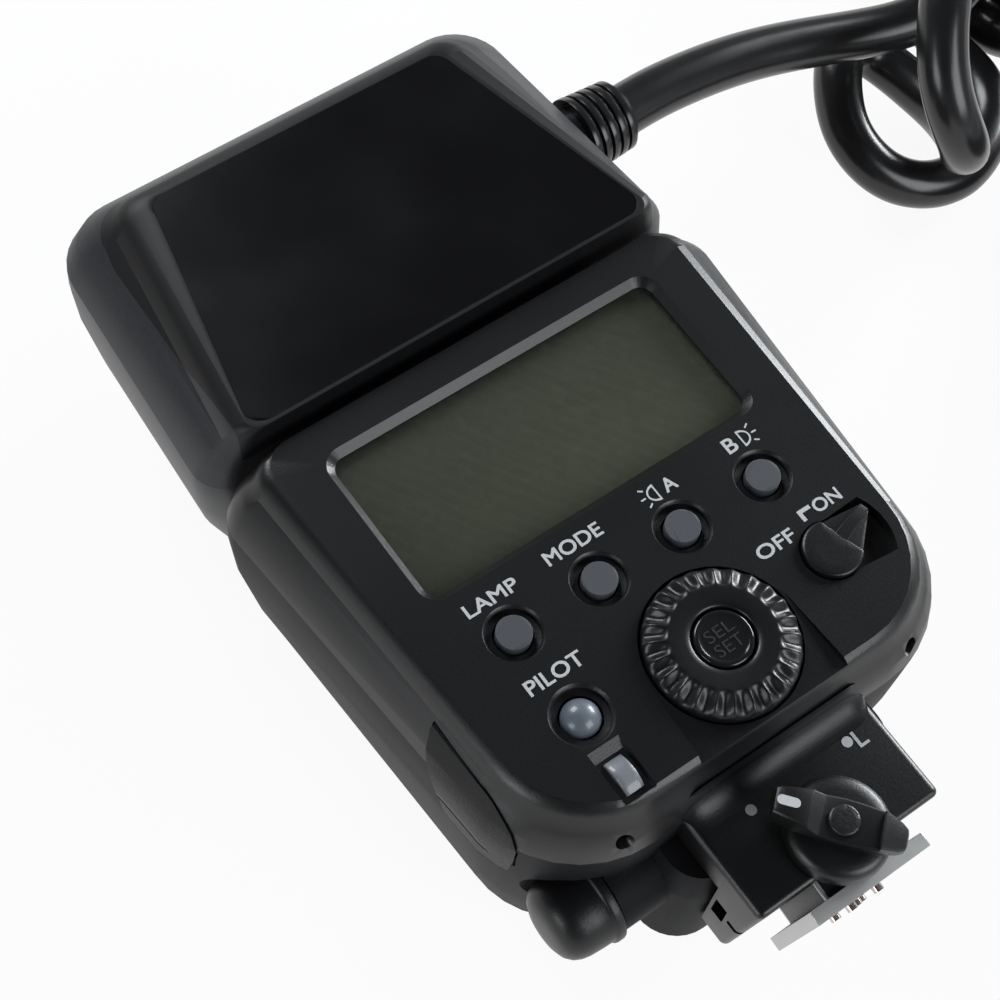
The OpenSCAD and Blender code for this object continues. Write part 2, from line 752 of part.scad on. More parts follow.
module display_window() {
    color(clear) at_display() translate([0, 0, panel_under])
        linear_extrude(window_t) polygon(round_rect(display_w + 0.4, display_h + 0.4, 2.3));
}

module lcd_module() {
    color([0.38, 0.39, 0.3]) at_display() {
        block([-display_w / 2, -display_h / 2 - 1.4, board_top],
            [display_w / 2, display_h / 2 + 1.4, panel_under]);
    }
}

module main_board() {
    color(green) at_display()
        block([-28.6, -body_bottom + 9.5, board_under], [28.6, body_top - 4.3, board_top]);
}

module key_switches() {
    color(grey) at_display() {
        top = key_flange_top - key_flange_t - button_travel - moving_gap;
        for (p = concat(button_places, [pilot_place]))
            translate([p[0], p[1], board_top]) cylinder(d = 3.4, h = top - board_top);
        translate([dial_place[0], dial_place[1], board_top])
            cylinder(d = 3, h = set_under - button_travel - moving_gap - board_top);
    }
}

set_under = -3.4;
set_top = dial_h - 0.6;

module button(tint, d, top) {
    color(tint) {
        translate([0, 0, key_flange_top - key_flange_t]) cylinder(d = d + 2 * key_flange, h = key_flange_t);
        translate([0, 0, key_flange_top - EPS]) cylinder(d = d, h = top - key_flange_top + EPS);
    }
}

module lamp_button() {
    at_display() translate(button_places[0]) button(grey, button_d, button_h);
}

module mode_button() {
    at_display() translate(button_places[1]) button(grey, button_d, button_h);
}

module ratio_a_button() {
    at_display() translate(button_places[2]) button(grey, button_d, button_h);
}

module ratio_b_button() {
    at_display() translate(button_places[3]) button(grey, button_d, button_h);
}

module pilot_button() {
    dome_r = pilot_d * 0.52;
    dome_z = pilot_top - dome_r;
    rim = dome_z + sqrt(dome_r * dome_r - pilot_d * pilot_d / 4);
    at_display() translate(pilot_place) {
        button(clear, pilot_d, rim);
        color(clear) intersection() {
            translate([0, 0, rim - EPS]) cylinder(d = pilot_d, h = 3);
            translate([0, 0, dome_z]) sphere(r = dome_r);
        }
    }
}

module ready_window() {
    color(clear) at_display() translate(ready_place) {
        block([-ready_w / 2 + seat_gap, -ready_h / 2 + seat_gap, panel_under - EPS],
            [ready_w / 2 - seat_gap, ready_h / 2 - seat_gap, 0.1]);
        block([-ready_w / 2 + 0.2, -ready_h / 2 + 1.2, panel_under - 0.8],
            [ready_w / 2 + 0.6, ready_h / 2 + 0.6, panel_under]);
    }
}

module select_dial() {
    low = dial_floor + moving_gap;
    tooth_w = PI * dial_d / dial_teeth * 0.5;
    color(gloss) at_display() translate(dial_place) difference() {
        union() {
            translate([0, 0, low]) cylinder(d = dial_d - 1.6, h = dial_h - low);
            for (i = [0:dial_teeth - 1])
                rotate([0, 0, 360 * i / dial_teeth])
                    block([dial_d / 2 - 2.2, -tooth_w / 2, low],
                        [dial_d / 2 - 0.1, tooth_w / 2, dial_h - 0.5]);
            translate([0, 0, pad_under - 0.8]) cylinder(d = dial_hub_d, h = low - pad_under + 0.8 + EPS);
        }
        cylinder(d = set_d + 2 * moving_gap, h = 40, center = true);
        translate([0, 0, dial_h - 0.7]) cylinder(d1 = set_d + 2 * moving_gap, d2 = dial_d - 7, h = 0.7 + EPS);
    }
}

module dial_encoder() {
    color(gloss) at_display() translate([dial_place[0], dial_place[1], board_top]) difference() {
        cylinder(d = dial_hub_d + 1.6, h = pad_under - 0.8 - moving_gap - board_top);
        translate([0, 0, -EPS]) cylinder(d = set_d, h = 5);
    }
}

module set_button() {
    color(gloss) at_display() translate([dial_place[0], dial_place[1], set_under])
        cylinder(d = set_d, h = set_top - set_under);
}

module power_lever() {
    low = dial_floor + moving_gap;
    top = 0.8;
    color(black) at_display() translate(power_place) {
        translate([0, 0, low]) cylinder(d = power_d, h = top - low);
        translate([0, 0, pad_under - 0.4]) cylinder(d = power_shaft_d, h = low - pad_under + 0.4 + EPS);
        rotate([0, 0, power_rest]) translate([0, 0, low + 0.1]) linear_extrude(top - low - 0.4)
            polygon([[0, -power_root_w / 2], [power_tip - 1, -power_tip_w / 2],
                [power_tip - 0.4, -power_tip_w / 2 + 0.6], [power_tip - 0.4, power_tip_w / 2 - 0.6],
                [power_tip - 1, power_tip_w / 2], [0, power_root_w / 2]]);
    }
}

module power_switch() {
    color(grey) at_display()
        block([power_place[0] - 4, power_place[1] - 4, board_top],
            [power_place[0] + 4, power_place[1] + 3, pad_under - 0.4 - moving_gap]);
}

module main_capacitor() {
    d = 18;
    color(black) at_display() translate([-24, 5.6, board_under - 0.1 - d / 2])
        rotate([0, 90, 0]) cylinder(d = d, h = 34);
}

module transformer() {
    color([0.5, 0.42, 0.2]) at_display() block([14, -4, board_under - 14], [30, 13, board_under]);
}

// Shoe and lock
foot_top = plate_t + neck_h;
pin_place = 6.2;
pin_top = foot_top - 0.2;
shaft_l = 7;
lever_low = hub_z + 3;

module foot_block() {
    color(satin) difference() {
        at_display() {
            block([-foot_w / 2, -2 * body_bottom, foot_face - foot_depth],
                [foot_w / 2, foot_base, foot_face]);
            block([-foot_w / 2, foot_base - EPS, chin_roof + seat_gap], [foot_w / 2, foot_seat, foot_face]);
        }
        at_foot() block([-foot_w, -90, -60], [foot_w, foot_top, 60]);
        translate([0, hub_y, hub_z - shaft_l]) cylinder(d = lock_shaft_d + 2 * running_fit, h = shaft_l + 1);
        at_foot() translate([0, 0, pin_place]) rotate([-90, 0, 0])
            cylinder(d = lock_pin_d + 2 * running_fit, h = hub_y);
        at_foot() screw_holes(1.6, foot_top + 4);
        at_display() foot_clip();
    }
}

// Clip hole in the foot's left side, and the slot from it to the shoe end
module foot_clip() {
    side = -foot_w / 2;
    mid_z = foot_face - 10.7;
    block([side - 1, foot_base - 2.8, mid_z - 2.1], [side + 3, foot_base - 0.6, mid_z + 2.1]);
    block([side - 1, -2 * body_bottom, mid_z - 0.5], [side + 1, foot_base - 3.4, mid_z + 0.5]);
}

screw_x = 5;

module screw_places() {
    for (x = [-screw_x, screw_x], z = [-6, 2])
        translate([x, 0, z]) rotate([-90, 0, 0]) children();
}

module screw_holes(d, h) {
    screw_places() translate([0, 0, -EPS]) cylinder(d = d, h = h);
}

contact_spots = [[0, 0], [-2.2, 3.4], [2.2, 3.4], [-2.2, -3.6], [2.2, -3.6]];
contact_d = 1.5;
contact_out = 1;
contact_travel = 0.8;
contact_block_t = 1;

module shoe_plate() {
    color(steel) at_foot() difference() {
        union() {
            block([-plate_w / 2, 0, -plate_l / 2], [plate_w / 2, plate_t, plate_l / 2]);
            block([-neck_w / 2, plate_t - EPS, -plate_l / 2 + 1], [neck_w / 2, foot_top, plate_l / 2 - 1]);
        }
        translate([0, 0, pin_place]) rotate([-90, 0, 0])
            translate([0, 0, -1]) cylinder(d = lock_pin_d + 2 * running_fit, h = foot_top + 2);
        screw_holes(1.6, foot_top + 1);
        screw_places() translate([0, 0, -EPS]) cylinder(d1 = 2.8, d2 = 1.6, h = 0.8);
        block([-3.4, -1, -5], [3.4, contact_block_t, 4.8]);
        for (p = contact_spots) translate([p[0], 0, p[1]]) rotate([-90, 0, 0])
            cylinder(d = contact_d + 2 * running_fit, h = foot_top + 1);
    }
}

module contact_block() {
    color(black) at_foot() difference() {
        block([-3.4, 0, -5], [3.4, contact_block_t, 4.8]);
        for (p = contact_spots) translate([p[0], -1, p[1]]) rotate([-90, 0, 0])
            cylinder(d = contact_d + 2 * running_fit, h = 4);
    }
}

module contact_pins() {
    color(copper) at_foot() for (p = contact_spots)
        translate([p[0], -contact_out, p[1]]) rotate([-90, 0, 0])
            cylinder(d = contact_d, h = contact_out + foot_top - contact_travel - 0.2);
}

module shoe_screws() {
    color(steel) at_foot() screw_places() {
        translate([0, 0, 0.05]) cylinder(d1 = 2.6, d2 = 1.4, h = 0.75);
        translate([0, 0, 0.5]) cylinder(d = 1.5, h = foot_top + 2.5);
    }
}

// The lever lies turned to the unlocked mark
lever_rest = 130;
lever_arm = 10.4;

module lock_lever() {
    color(black) translate([0, hub_y, 0]) difference() {
        union() {
            translate([0, 0, hub_z + moving_gap]) cylinder(d = lock_hub_d, h = lever_low - hub_z);
            rotate([0, 0, lever_rest]) translate([0, 0, lever_low]) linear_extrude(3.2)
                polygon([[-8.4, -2.4], [-5.6, -5.4], [0, -5.8], [6, -4.4], [lever_arm, -1.8],
                    [lever_arm, 1.8], [6, 4.4], [0, 5.8], [-5.6, 5.4], [-8.4, 2.4]]);
        }
        translate([0, 0, hub_z - 1]) cylinder(d = lock_shaft_d, h = lever_low - hub_z + 2);
        translate([0, 0, lever_low + 1.6]) cylinder(d = 4.9, h = 5);
    }
}

module lock_lever_cap() {
    color(satin) translate([0, hub_y, lever_low + 1.6]) cylinder(d = 4.8, h = 2.1);
}

module lock_shaft() {
    color(steel) translate([0, hub_y, hub_z - shaft_l + 0.3])
        cylinder(d = lock_shaft_d, h = shaft_l - 0.3 + lever_low - hub_z + 1);
}

module lock_pin() {
    color(steel) at_foot() translate([0, 0.2, pin_place]) rotate([-90, 0, 0])
        cylinder(d = lock_pin_d, h = pin_top - 0.2);
}

module case_screws() {
    color(steel) at_display() case_screw_line(2.2, 3.5);
}

// Ring head, lens side down
lens_r = lens_d / 2;
ring_r = ring_d / 2;
ring_wall = 2;
ring_split = 10;
ring_deck = ring_h - 4.5;
diffuser_in = lens_r + 5;
diffuser_out = diffuser_in + diffuser_w;
diffuser_arc = 140;
lamp_turn = 90;
release_turn = 0;
release_w = 16;
release_z0 = 3;
release_in = lens_r + 9;
release_h = 7;

module ring_gland() {
    color(black) at_ring() rotate([0, 0, gland_turn]) translate([ring_r, 0, ring_gland_z])
        rotate([0, 90, 0]) {
            translate([0, 0, 0.2]) gland_ribs(ring_gland_l - 0.2, 5);
            translate([0, 0, -3]) cylinder(d = gland_neck_d, h = 4);
        }
}

module ring_gland_bore() {
    rotate([0, 0, gland_turn]) translate([ring_r - 6, 0, ring_gland_z])
        rotate([0, 90, 0]) cylinder(d = gland_neck_d + 0.1, h = 12);
}

module ring_profile(points) {
    rotate_extrude($fn = 96) polygon(points);
}

module release_slot(side) {
    rotate([0, 0, side]) block([lens_r + 4, -release_w / 2 - moving_gap, release_z0 - moving_gap],
        [ring_r + 5, release_w / 2 + moving_gap, release_z0 + release_h + moving_gap]);
}

module ring_rear_shell() {
    color(satin) at_ring() difference() {
        ring_profile([[lens_r, 0], [ring_r - 3, 0], [ring_r, 3], [ring_r, ring_split],
            [ring_r - ring_wall, ring_split], [ring_r - ring_wall, ring_wall],
            [lens_r + ring_wall, ring_wall], [lens_r + ring_wall, ring_split], [lens_r, ring_split]]);
        for (side = [0, 180]) release_slot(side);
        ring_gland_bore();
        ring_screw_holes(1.8, 30);
    }
}

module ring_front_shell() {
    color(satin) at_ring() difference() {
        ring_profile([[lens_r, ring_split], [lens_r + ring_wall, ring_split],
            [lens_r + ring_wall, ring_deck - ring_wall], [ring_r - ring_wall - 1, ring_deck - ring_wall],
            [ring_r - ring_wall, ring_deck - ring_wall - 2], [ring_r - ring_wall, ring_split],
            [ring_r, ring_split], [ring_r, ring_deck - 4], [ring_r - 4, ring_deck], [lens_r, ring_deck]]);
        for (turn = [0, 180]) rotate([0, 0, turn - diffuser_arc / 2])
            rotate_extrude(angle = diffuser_arc, $fn = 96)
                translate([diffuser_in - seat_gap, ring_deck - 2 * ring_wall])
                    square([diffuser_w + 2 * seat_gap, 3 * ring_wall]);
        for (turn = [lamp_turn, lamp_turn + 180]) rotate([0, 0, turn])
            translate([(diffuser_in + diffuser_out) / 2, 0, ring_split]) cylinder(d = 6.2, h = ring_h);
        ring_gland_bore();
        for (side = [0, 180]) release_slot(side);
    }
}

module diffuser(turn) {
    color(white) at_ring() rotate([0, 0, turn - diffuser_arc / 2 + 0.2])
        rotate_extrude(angle = diffuser_arc - 0.4, $fn = 96)
            polygon([[diffuser_in, ring_deck - ring_wall], [diffuser_out, ring_deck - ring_wall],
                [diffuser_out, ring_deck + 0.5], [diffuser_out - diffuser_w * 0.3, ring_h],
                [diffuser_in + diffuser_w * 0.3, ring_h], [diffuser_in, ring_deck + 0.5]]);
}

module diffuser_left() {
    diffuser(180);
}

module diffuser_right() {
    diffuser(0);
}

reflector_low = ring_split + 2.4;

module reflector(turn) {
    low = reflector_low;
    high = ring_deck - ring_wall;
    color(steel) at_ring() rotate([0, 0, turn - diffuser_arc / 2 + 2])
        rotate_extrude(angle = diffuser_arc - 4, $fn = 96)
            polygon([[diffuser_in + 0.4, high], [diffuser_in + 0.9, high], [diffuser_in + 3, low + 0.6],
                [diffuser_out - 3, low + 0.6], [diffuser_out - 0.9, high], [diffuser_out - 0.4, high],
                [diffuser_out - 2.6, low], [diffuser_in + 2.6, low]]);
}

module reflector_left() {
    reflector(180);
}

module reflector_right() {
    reflector(0);
}

module flash_tubes() {
    d = 2.6;
    color(clear) at_ring() for (turn = [0, 180])
        rotate([0, 0, turn - diffuser_arc / 2 + 6])
            rotate_extrude(angle = diffuser_arc - 12, $fn = 96)
                translate([(diffuser_in + diffuser_out) / 2, reflector_low + 0.6 + d / 2 + seat_gap])
                    circle(d = d, $fn = 24);
}

module focusing_lamps() {
    color(white) at_ring() for (turn = [lamp_turn, lamp_turn + 180])
        rotate([0, 0, turn]) translate([(diffuser_in + diffuser_out) / 2, 0, ring_split + 2.4])
            cylinder(d = 6, h = ring_deck + 0.3 - ring_split - 2.4);
}

module ring_board() {
    color(green) at_ring() difference() {
        translate([0, 0, ring_split + 0.8]) cylinder(r = ring_r - ring_wall - 0.1, h = 1.6, $fn = 96);
        translate([0, 0, ring_split]) cylinder(r = lens_r + ring_wall + 0.1, h = 4, $fn = 96);
        ring_gland_bore();
    }
}

module release(side) {
    reach = ring_r + 3;
    color(black) at_ring() rotate([0, 0, side]) intersection() {
        block([release_in, -release_w / 2, release_z0], [reach, release_w / 2, release_z0 + release_h - 0.2]);
        cylinder(r = reach, h = ring_h, $fn = 96);
    }
}

module release_left() {
    release(180);
}

module release_right() {
    release(0);
}

module release_springs() {
    color(steel) at_ring() for (side = [0, 180])
        rotate([0, 0, side]) block([lens_r + ring_wall, -4, release_z0],
            [release_in - release_travel - moving_gap, 4, release_z0 + release_h - 1]);
}

module ring_screw_places() {
    for (a = [90, 200, 270, 340])
        rotate([0, 0, a]) translate([ring_r - 7, 0, 0]) children();
}

module ring_screw_holes(d, h) {
    ring_screw_places() translate([0, 0, -EPS]) cylinder(d = d, h = h);
}

module ring_screws() {
    color(steel) at_ring() ring_screw_places() translate([0, 0, 0.2]) cylinder(d = 1.7, h = ring_split + 0.6);
}

rear_shell();
front_shell();
head_rear_cover();
head_panel();
head_front_cover();
display_window();
lcd_module();
main_board();
key_switches();
main_capacitor();
transformer();
battery_contacts();
battery_door();
battery_door_pin();
terminal_cover();
terminal_socket();
sync_cap();
sync_contact();
lamp_button();
mode_button();
ratio_a_button();
ratio_b_button();
pilot_button();
ready_window();
select_dial();
dial_encoder();
set_button();
power_lever();
power_switch();
foot_block();
shoe_plate();
contact_block();
contact_pins();
shoe_screws();
lock_lever();
lock_lever_cap();
lock_shaft();
lock_pin();
case_screws();
cord_gland();
cord_lead();
cord_curls();
cord_tail();
ring_gland();
ring_rear_shell();
ring_front_shell();
diffuser_left();
diffuser_right();
reflector_left();
reflector_right();
flash_tubes();
focusing_lamps();
ring_board();
release_left();
release_right();
release_springs();
ring_screws();
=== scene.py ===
"""Macro ring flash: a control unit on a shoe foot, its curly cord and the ring head at the cord's end.

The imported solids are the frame. The cord, the lettering, the finer skins and all finishes are made here.
Sizes are in millimetres, and most places are told from the middle of the display.
"""

from __future__ import annotations

import logging
import math
from dataclasses import dataclass
from enum import Enum
from typing import Any, Callable, Optional, Sequence, Union

import bpy
import numpy as np
from mathutils import Matrix, Vector


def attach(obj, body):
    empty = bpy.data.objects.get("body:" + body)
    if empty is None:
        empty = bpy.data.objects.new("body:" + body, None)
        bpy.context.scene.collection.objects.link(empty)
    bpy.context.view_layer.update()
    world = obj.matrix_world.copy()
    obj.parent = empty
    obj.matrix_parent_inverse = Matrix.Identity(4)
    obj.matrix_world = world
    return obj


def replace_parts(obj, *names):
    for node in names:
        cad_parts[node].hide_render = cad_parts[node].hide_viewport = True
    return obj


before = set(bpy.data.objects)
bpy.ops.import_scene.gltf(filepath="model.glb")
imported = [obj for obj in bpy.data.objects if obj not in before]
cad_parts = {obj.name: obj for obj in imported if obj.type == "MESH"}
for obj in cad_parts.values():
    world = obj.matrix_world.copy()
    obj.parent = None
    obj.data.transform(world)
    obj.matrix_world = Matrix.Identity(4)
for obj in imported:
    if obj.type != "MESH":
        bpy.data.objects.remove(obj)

log = logging.getLogger("ring_flash")

MM = 0.001
DISPLAY = np.array([0.0, 70.6, 17.4])
FLOOR_Z = -28.6
SHARP = 40.0
ROUND_STEPS = 96
QUARTER = math.pi / 2
Pair = tuple[float, float]
Triple = tuple[float, float, float]
Pairs = tuple[Pair, ...]
Triples = tuple[Triple, ...]
Colour = Triple
Reach = Union[np.ndarray, float]


def joined(kind: str, swapped: bool = False) -> Callable[..., "Value"]:
    """Makes the method of an operator, which adds a Math node.

    Args:
        kind: the node's operation.
        swapped: whether the other term stands first.

    Returns:
        The method.
    """
    def method(self: "Value", other: "Term" = 0.0) -> "Value":
        """Joins the two terms."""
        first, second = (other, self) if swapped else (self, other)
        return self.paint.node("ShaderNodeMath", {"operation": kind}, {0: first, 1: second})

    return method


class Value:
    """A shader socket that takes part in Python expressions, each adding its Math node."""

    def __init__(self, paint: "Paint", socket: bpy.types.NodeSocket) -> None:
        """Keeps the socket and the paint that it belongs to."""
        self.paint = paint
        self.socket = socket

    __add__ = __radd__ = joined("ADD")
    __sub__ = joined("SUBTRACT")
    __rsub__ = joined("SUBTRACT", True)
    __mul__ = __rmul__ = joined("MULTIPLY")
    __truediv__ = joined("DIVIDE")
    __pow__ = joined("POWER")
    __gt__ = joined("GREATER_THAN")
    wave = joined("SINE")


Term = Union[Value, float]


class Paint:
    """One material, or the sky, and the nodes in it."""

    def __init__(self, name: str, world: bool = False) -> None:
        """Makes an empty node tree.

        Args:
            name: the material's name.
            world: whether it is the sky.
        """
        self.material = (bpy.data.worlds if world else bpy.data.materials).new(name)
        self.material.use_nodes = True
        self.tree = self.material.node_tree
        self.tree.nodes.clear()

    def node(self, kind: str, settings: Optional[dict[str, Any]] = None,
             inputs: Optional[dict[Union[int, str], Any]] = None, out: Union[int, str] = 0) -> Value:
        """Adds a node, sets it up and joins it to what feeds it.

        Args:
            kind: the node's type.
            settings: the node's own properties, set first; "stops" fills a ramp.
            inputs: values, or links, of its sockets.
            out: the output that is handed on.

        Returns:
            The chosen output.
        """
        made = self.tree.nodes.new(kind)
        for key, value in (settings or {}).items():
            if key == "stops":
                self._fill(made.color_ramp, value)
            else:
                setattr(made, key, value)
        for key, value in (inputs or {}).items():
            if isinstance(value, Value):
                self.tree.links.new(value.socket, made.inputs[key])
            elif isinstance(value, tuple) and made.inputs[key].type == "RGBA":
                made.inputs[key].default_value = (*value, 1.0)
            else:
                made.inputs[key].default_value = value
        return Value(self, made.outputs[out] if made.outputs else None)

    @staticmethod
    def _fill(ramp: bpy.types.ColorRamp, stops: Sequence[tuple[float, Colour]]) -> None:
        """Gives a ramp its stops.

        Args:
            ramp: the ramp to fill.
            stops: places and colours, in order.
        """
        while len(ramp.elements) < len(stops):
            ramp.elements.new(1.0)
        for element, (place, colour) in zip(ramp.elements, stops):
            element.position = place
            element.color = (*colour, 1.0)

    def here(self) -> Value:
        """The point of the surface, in metres."""
        return self.node("ShaderNodeTexCoord", out="Object")

    def axes(self, vector: Value) -> tuple[Value, Value, Value]:
        """The three parts of a vector."""
        split = self.node("ShaderNodeSeparateXYZ", None, {0: vector}).socket.node
        return tuple(Value(self, split.outputs[i]) for i in range(3))

    def noise(self, scale: float, detail: float = 2.0, stretch: Colour = (1.0, 1.0, 1.0)) -> Value:
        """Cloudy noise from nought to one, with so many clouds in a metre, finer octaves and a stretch."""
        spot = self.node("ShaderNodeMapping", None, {"Vector": self.here(), "Scale": stretch})
        return self.node("ShaderNodeTexNoise", None, {"Vector": spot, "Scale": scale, "Detail": detail})

    def mix(self, first: Union[Value, Colour], second: Union[Value, Colour], share: Term) -> Value:
        """A colour between two, by the share of the second."""
        return self.node("ShaderNodeMix", {"data_type": "RGBA"}, {0: share, 6: first, 7: second}, 2)

    def bump(self, height: Value, strength: float, depth: float) -> Value:
        """A normal that leans with a height, by a share of the effect and the height's size in metres."""
        return self.node("ShaderNodeBump", None, {"Strength": strength, "Distance": depth, "Height": height})

    def finish(self, inputs: dict[Union[int, str], Any]) -> bpy.types.Material:
        """Ends the tree in a principled surface with these sockets."""
        self.node("ShaderNodeOutputMaterial", None, {0: self.node("ShaderNodeBsdfPrincipled", None, inputs)})
        return self.material


@dataclass(frozen=True)
class Clouded:
    """A surface under two clouds of noise, a fine and a broad one, which shift its shade and its gloss.

    The tones are factors of the shade. The share tells how far the colour lies between them: a fixed part,
    and the weights of the two clouds. The wear weighs the two clouds and their product into the roughness,
    and the haze the broad cloud's square.
    """

    shade: Colour = (0.011, 0.0112, 0.0125)
    gloss: float = 0.33
    grain: float = 0.32
    depth: float = 0.05
    strength: float = 0.5
    sheen: float = 0.5
    metal: float = 0.0
    octaves: float = 3.0
    lay: Triple = (1.0, 1.0, 1.0)
    cloud: Pair = (38.0, 2.0)
    tones: Pair = (1.0, 1.35)
    share: Triple = (0.0, 0.5, 0.5)
    wear: Triple = (0.1, 0.08, 0.0)
    haze: float = 0.0

    def make(self, name: str) -> bpy.types.Material:
        """Weighs the two clouds into colour and roughness, and bumps the surface with the fine one.

        Args:
            name: the material's name.

        Returns:
            The material.
        """
        paint = Paint(name)
        fine = paint.noise(1 / (self.grain * MM), self.octaves, self.lay)
        broad = paint.noise(*self.cloud)
        dark, pale = (tuple(tone * c for c in self.shade) for tone in self.tones)
        fixed, by_fine, by_broad = self.share
        worn = self.wear[0] * fine + self.wear[1] * broad + self.wear[2] * fine * broad
        return paint.finish({
            "Base Color": paint.mix(dark, pale, fixed + by_fine * fine + by_broad * broad),
            "Roughness": self.gloss + worn + self.haze * broad * broad,
            "Specular IOR Level": self.sheen,
            "Metallic": self.metal,
            "Normal": paint.bump(fine, self.strength, self.depth * MM),
        })


@dataclass(frozen=True)
class Moulded(Clouded):
    """Black plastic from a spark-textured mould: a fine grain that scatters the gloss."""


@dataclass(frozen=True)
class Polished(Clouded):
    """Smooth glossy plastic with a faint orange peel and finger haze."""

    shade: Colour = (0.009, 0.009, 0.01)
    gloss: float = 0.12
    grain: float = 1 / 0.7
    strength: float = 0.05
    octaves: float = 1.0
    cloud: Pair = (60.0, 3.0)
    tones: Pair = (1.0, 1.3)
    share: Triple = (0.0, 0.0, 1.0)
    wear: Triple = (0.0, 0.0, 0.0)
    haze: float = 0.12


@dataclass(frozen=True)
class Rubber(Clouded):
    """Soft black rubber: an even sheen with faint clouds and pores."""

    shade: Colour = (0.010, 0.010, 0.0105)
    gloss: float = 0.17
    grain: float = 1 / 2.6
    depth: float = 0.04
    strength: float = 0.12
    octaves: float = 2.0
    cloud: Pair = (120.0, 3.0)
    tones: Pair = (1.0, 2.0)
    share: Triple = (0.0, 0.0, 0.6)
    wear: Triple = (0.05, 0.1, 0.0)


@dataclass(frozen=True)
class Metal(Clouded):
    """Rolled or turned metal with fine scratches along one axis."""

    shade: Colour = (0.62, 0.61, 0.59)
    gloss: float = 0.26
    grain: float = 1 / 0.42
    depth: float = 0.03
    strength: float = 0.12
    metal: float = 1.0
    octaves: float = 4.0
    lay: Triple = (1.0, 14.0, 14.0)
    cloud: Pair = (150.0, 3.0)
    tones: Pair = (0.8, 1.0)
    share: Triple = (0.4, 0.0, 0.6)
    wear: Triple = (0.0, 0.0, 0.22)


@dataclass(frozen=True)
class KeyTop(Clouded):
    """Soft grey silicone of the four keys, faintly mottled."""

    shade: Colour = (0.050, 0.055, 0.064)
    gloss: float = 0.5
    grain: float = 1 / 3.0
    depth: float = 0.03
    strength: float = 0.18
    octaves: float = 2.0
    cloud: Pair = (160.0, 2.0)
    tones: Pair = (1.0, 1.12)
    share: Triple = (0.0, 0.0, 1.0)
    wear: Triple = (0.12, 0.0, 0.0)


@dataclass(frozen=True)
class Ink(Clouded):
    """Screen-printed ink, a little thin at the mesh of the screen."""

    shade: Colour = (0.52, 0.53, 0.55)
    gloss: float = 0.5
    grain: float = 1 / 4.2
    strength: float = 0.0
    octaves: float = 2.0
    tones: Pair = (0.82, 1.0)
    share: Triple = (0.0, 1.0, 0.0)
    wear: Triple = (0.15, 0.0, 0.0)


@dataclass(frozen=True)
class Hood:
    """The head's cover: glossy like its panel between the end caps, grained at the caps."""

    shade: Colour = (0.0048, 0.0049, 0.0056)
    grey: Colour = (0.027, 0.0278, 0.0315)
    half: float = 34.3
    taper: float = 0.042
    floor: float = 13.5
    sheen: float = 0.28
    rough: Pair = (0.46, 0.40)

    def make(self, name: str) -> bpy.types.Material:
        """Tells the glossy top by its height and by the distance from the middle, which shrinks toward
        the head's far end.

        Args:
            name: the material's name.

        Returns:
            The material.
        """
        paint = Paint(name)
        x, y, z = paint.axes(paint.here())
        edge = self.half * MM - self.taper * (y - DISPLAY[1] * MM - 0.02)
        cap = 1.0 - (z > self.floor * MM) * (edge * edge > x * x)
        fine = paint.noise(3100.0, 3.0)
        return paint.finish({
            "Base Color": paint.mix(self.shade, self.grey, cap * (0.4 + fine)),
            "Roughness": self.rough[0] + (self.rough[1] - self.rough[0]) * cap + 0.06 * fine,
            "Specular IOR Level": self.sheen,
            "Normal": paint.bump(fine * cap, 0.5, 0.05 * MM),
        })


@dataclass(frozen=True)
class LeafCover:
    """Soft leaf over the sockets, with a bowed finger slit pressed into it and painted shade in the slit."""

    shade: Colour = (0.0055, 0.0056, 0.0062)
    middle: Pair = (-33.5, -14.6)
    half: Pair = (6.3, 0.75)
    bow: float = 1.1
    depth: float = 0.7

    def make(self, name: str) -> bpy.types.Material:
        """Presses the slit where one less the squares of the places along and across it is above nought, and
        paints shade into it there.

        Args:
            name: the material's name.

        Returns:
            The material.
        """
        paint = Paint(name)
        _, y, z = paint.axes(paint.here())
        along = (y / MM - (DISPLAY[1] + self.middle[0])) / self.half[0]
        square = along * along
        across = (z / MM - (DISPLAY[2] + self.middle[1] + self.bow) + self.bow * square) / self.half[1]
        level = 1.0 - across * across - square ** 4.0
        slit = (level > 0.0) * level
        fine = paint.noise(2400.0, 2.0)
        return paint.finish({
            # painted shade: the colour goes toward black where the slit is deepest
            "Base Color": paint.mix(self.shade, (0.001, 0.001, 0.001), slit),
            "Roughness": 0.42 + 0.12 * fine,
            "Specular IOR Level": 0.25,
            "Normal": paint.bump(0.08 * fine - slit, 1.0, self.depth * MM),
        })


@dataclass(frozen=True)
class MilkyLens:
    """Milky lens plastic, cloudy within and polished outside."""

    shade: Colour = (0.085, 0.105, 0.135)
    pale: Colour = (0.15, 0.17, 0.20)
    cloud: float = 260.0

    def make(self, name: str) -> bpy.types.Material:
        """Clouds the colour and keeps a clear coat over it.

        Args:
            name: the material's name.

        Returns:
            The material.
        """
        paint = Paint(name)
        haze = paint.noise(self.cloud, 3.0)
        return paint.finish({
            "Base Color": paint.mix(self.shade, self.pale, haze),
            "Roughness": 0.34 + 0.12 * haze,
            "Coat Weight": 0.4,
            "Coat Roughness": 0.07,
        })


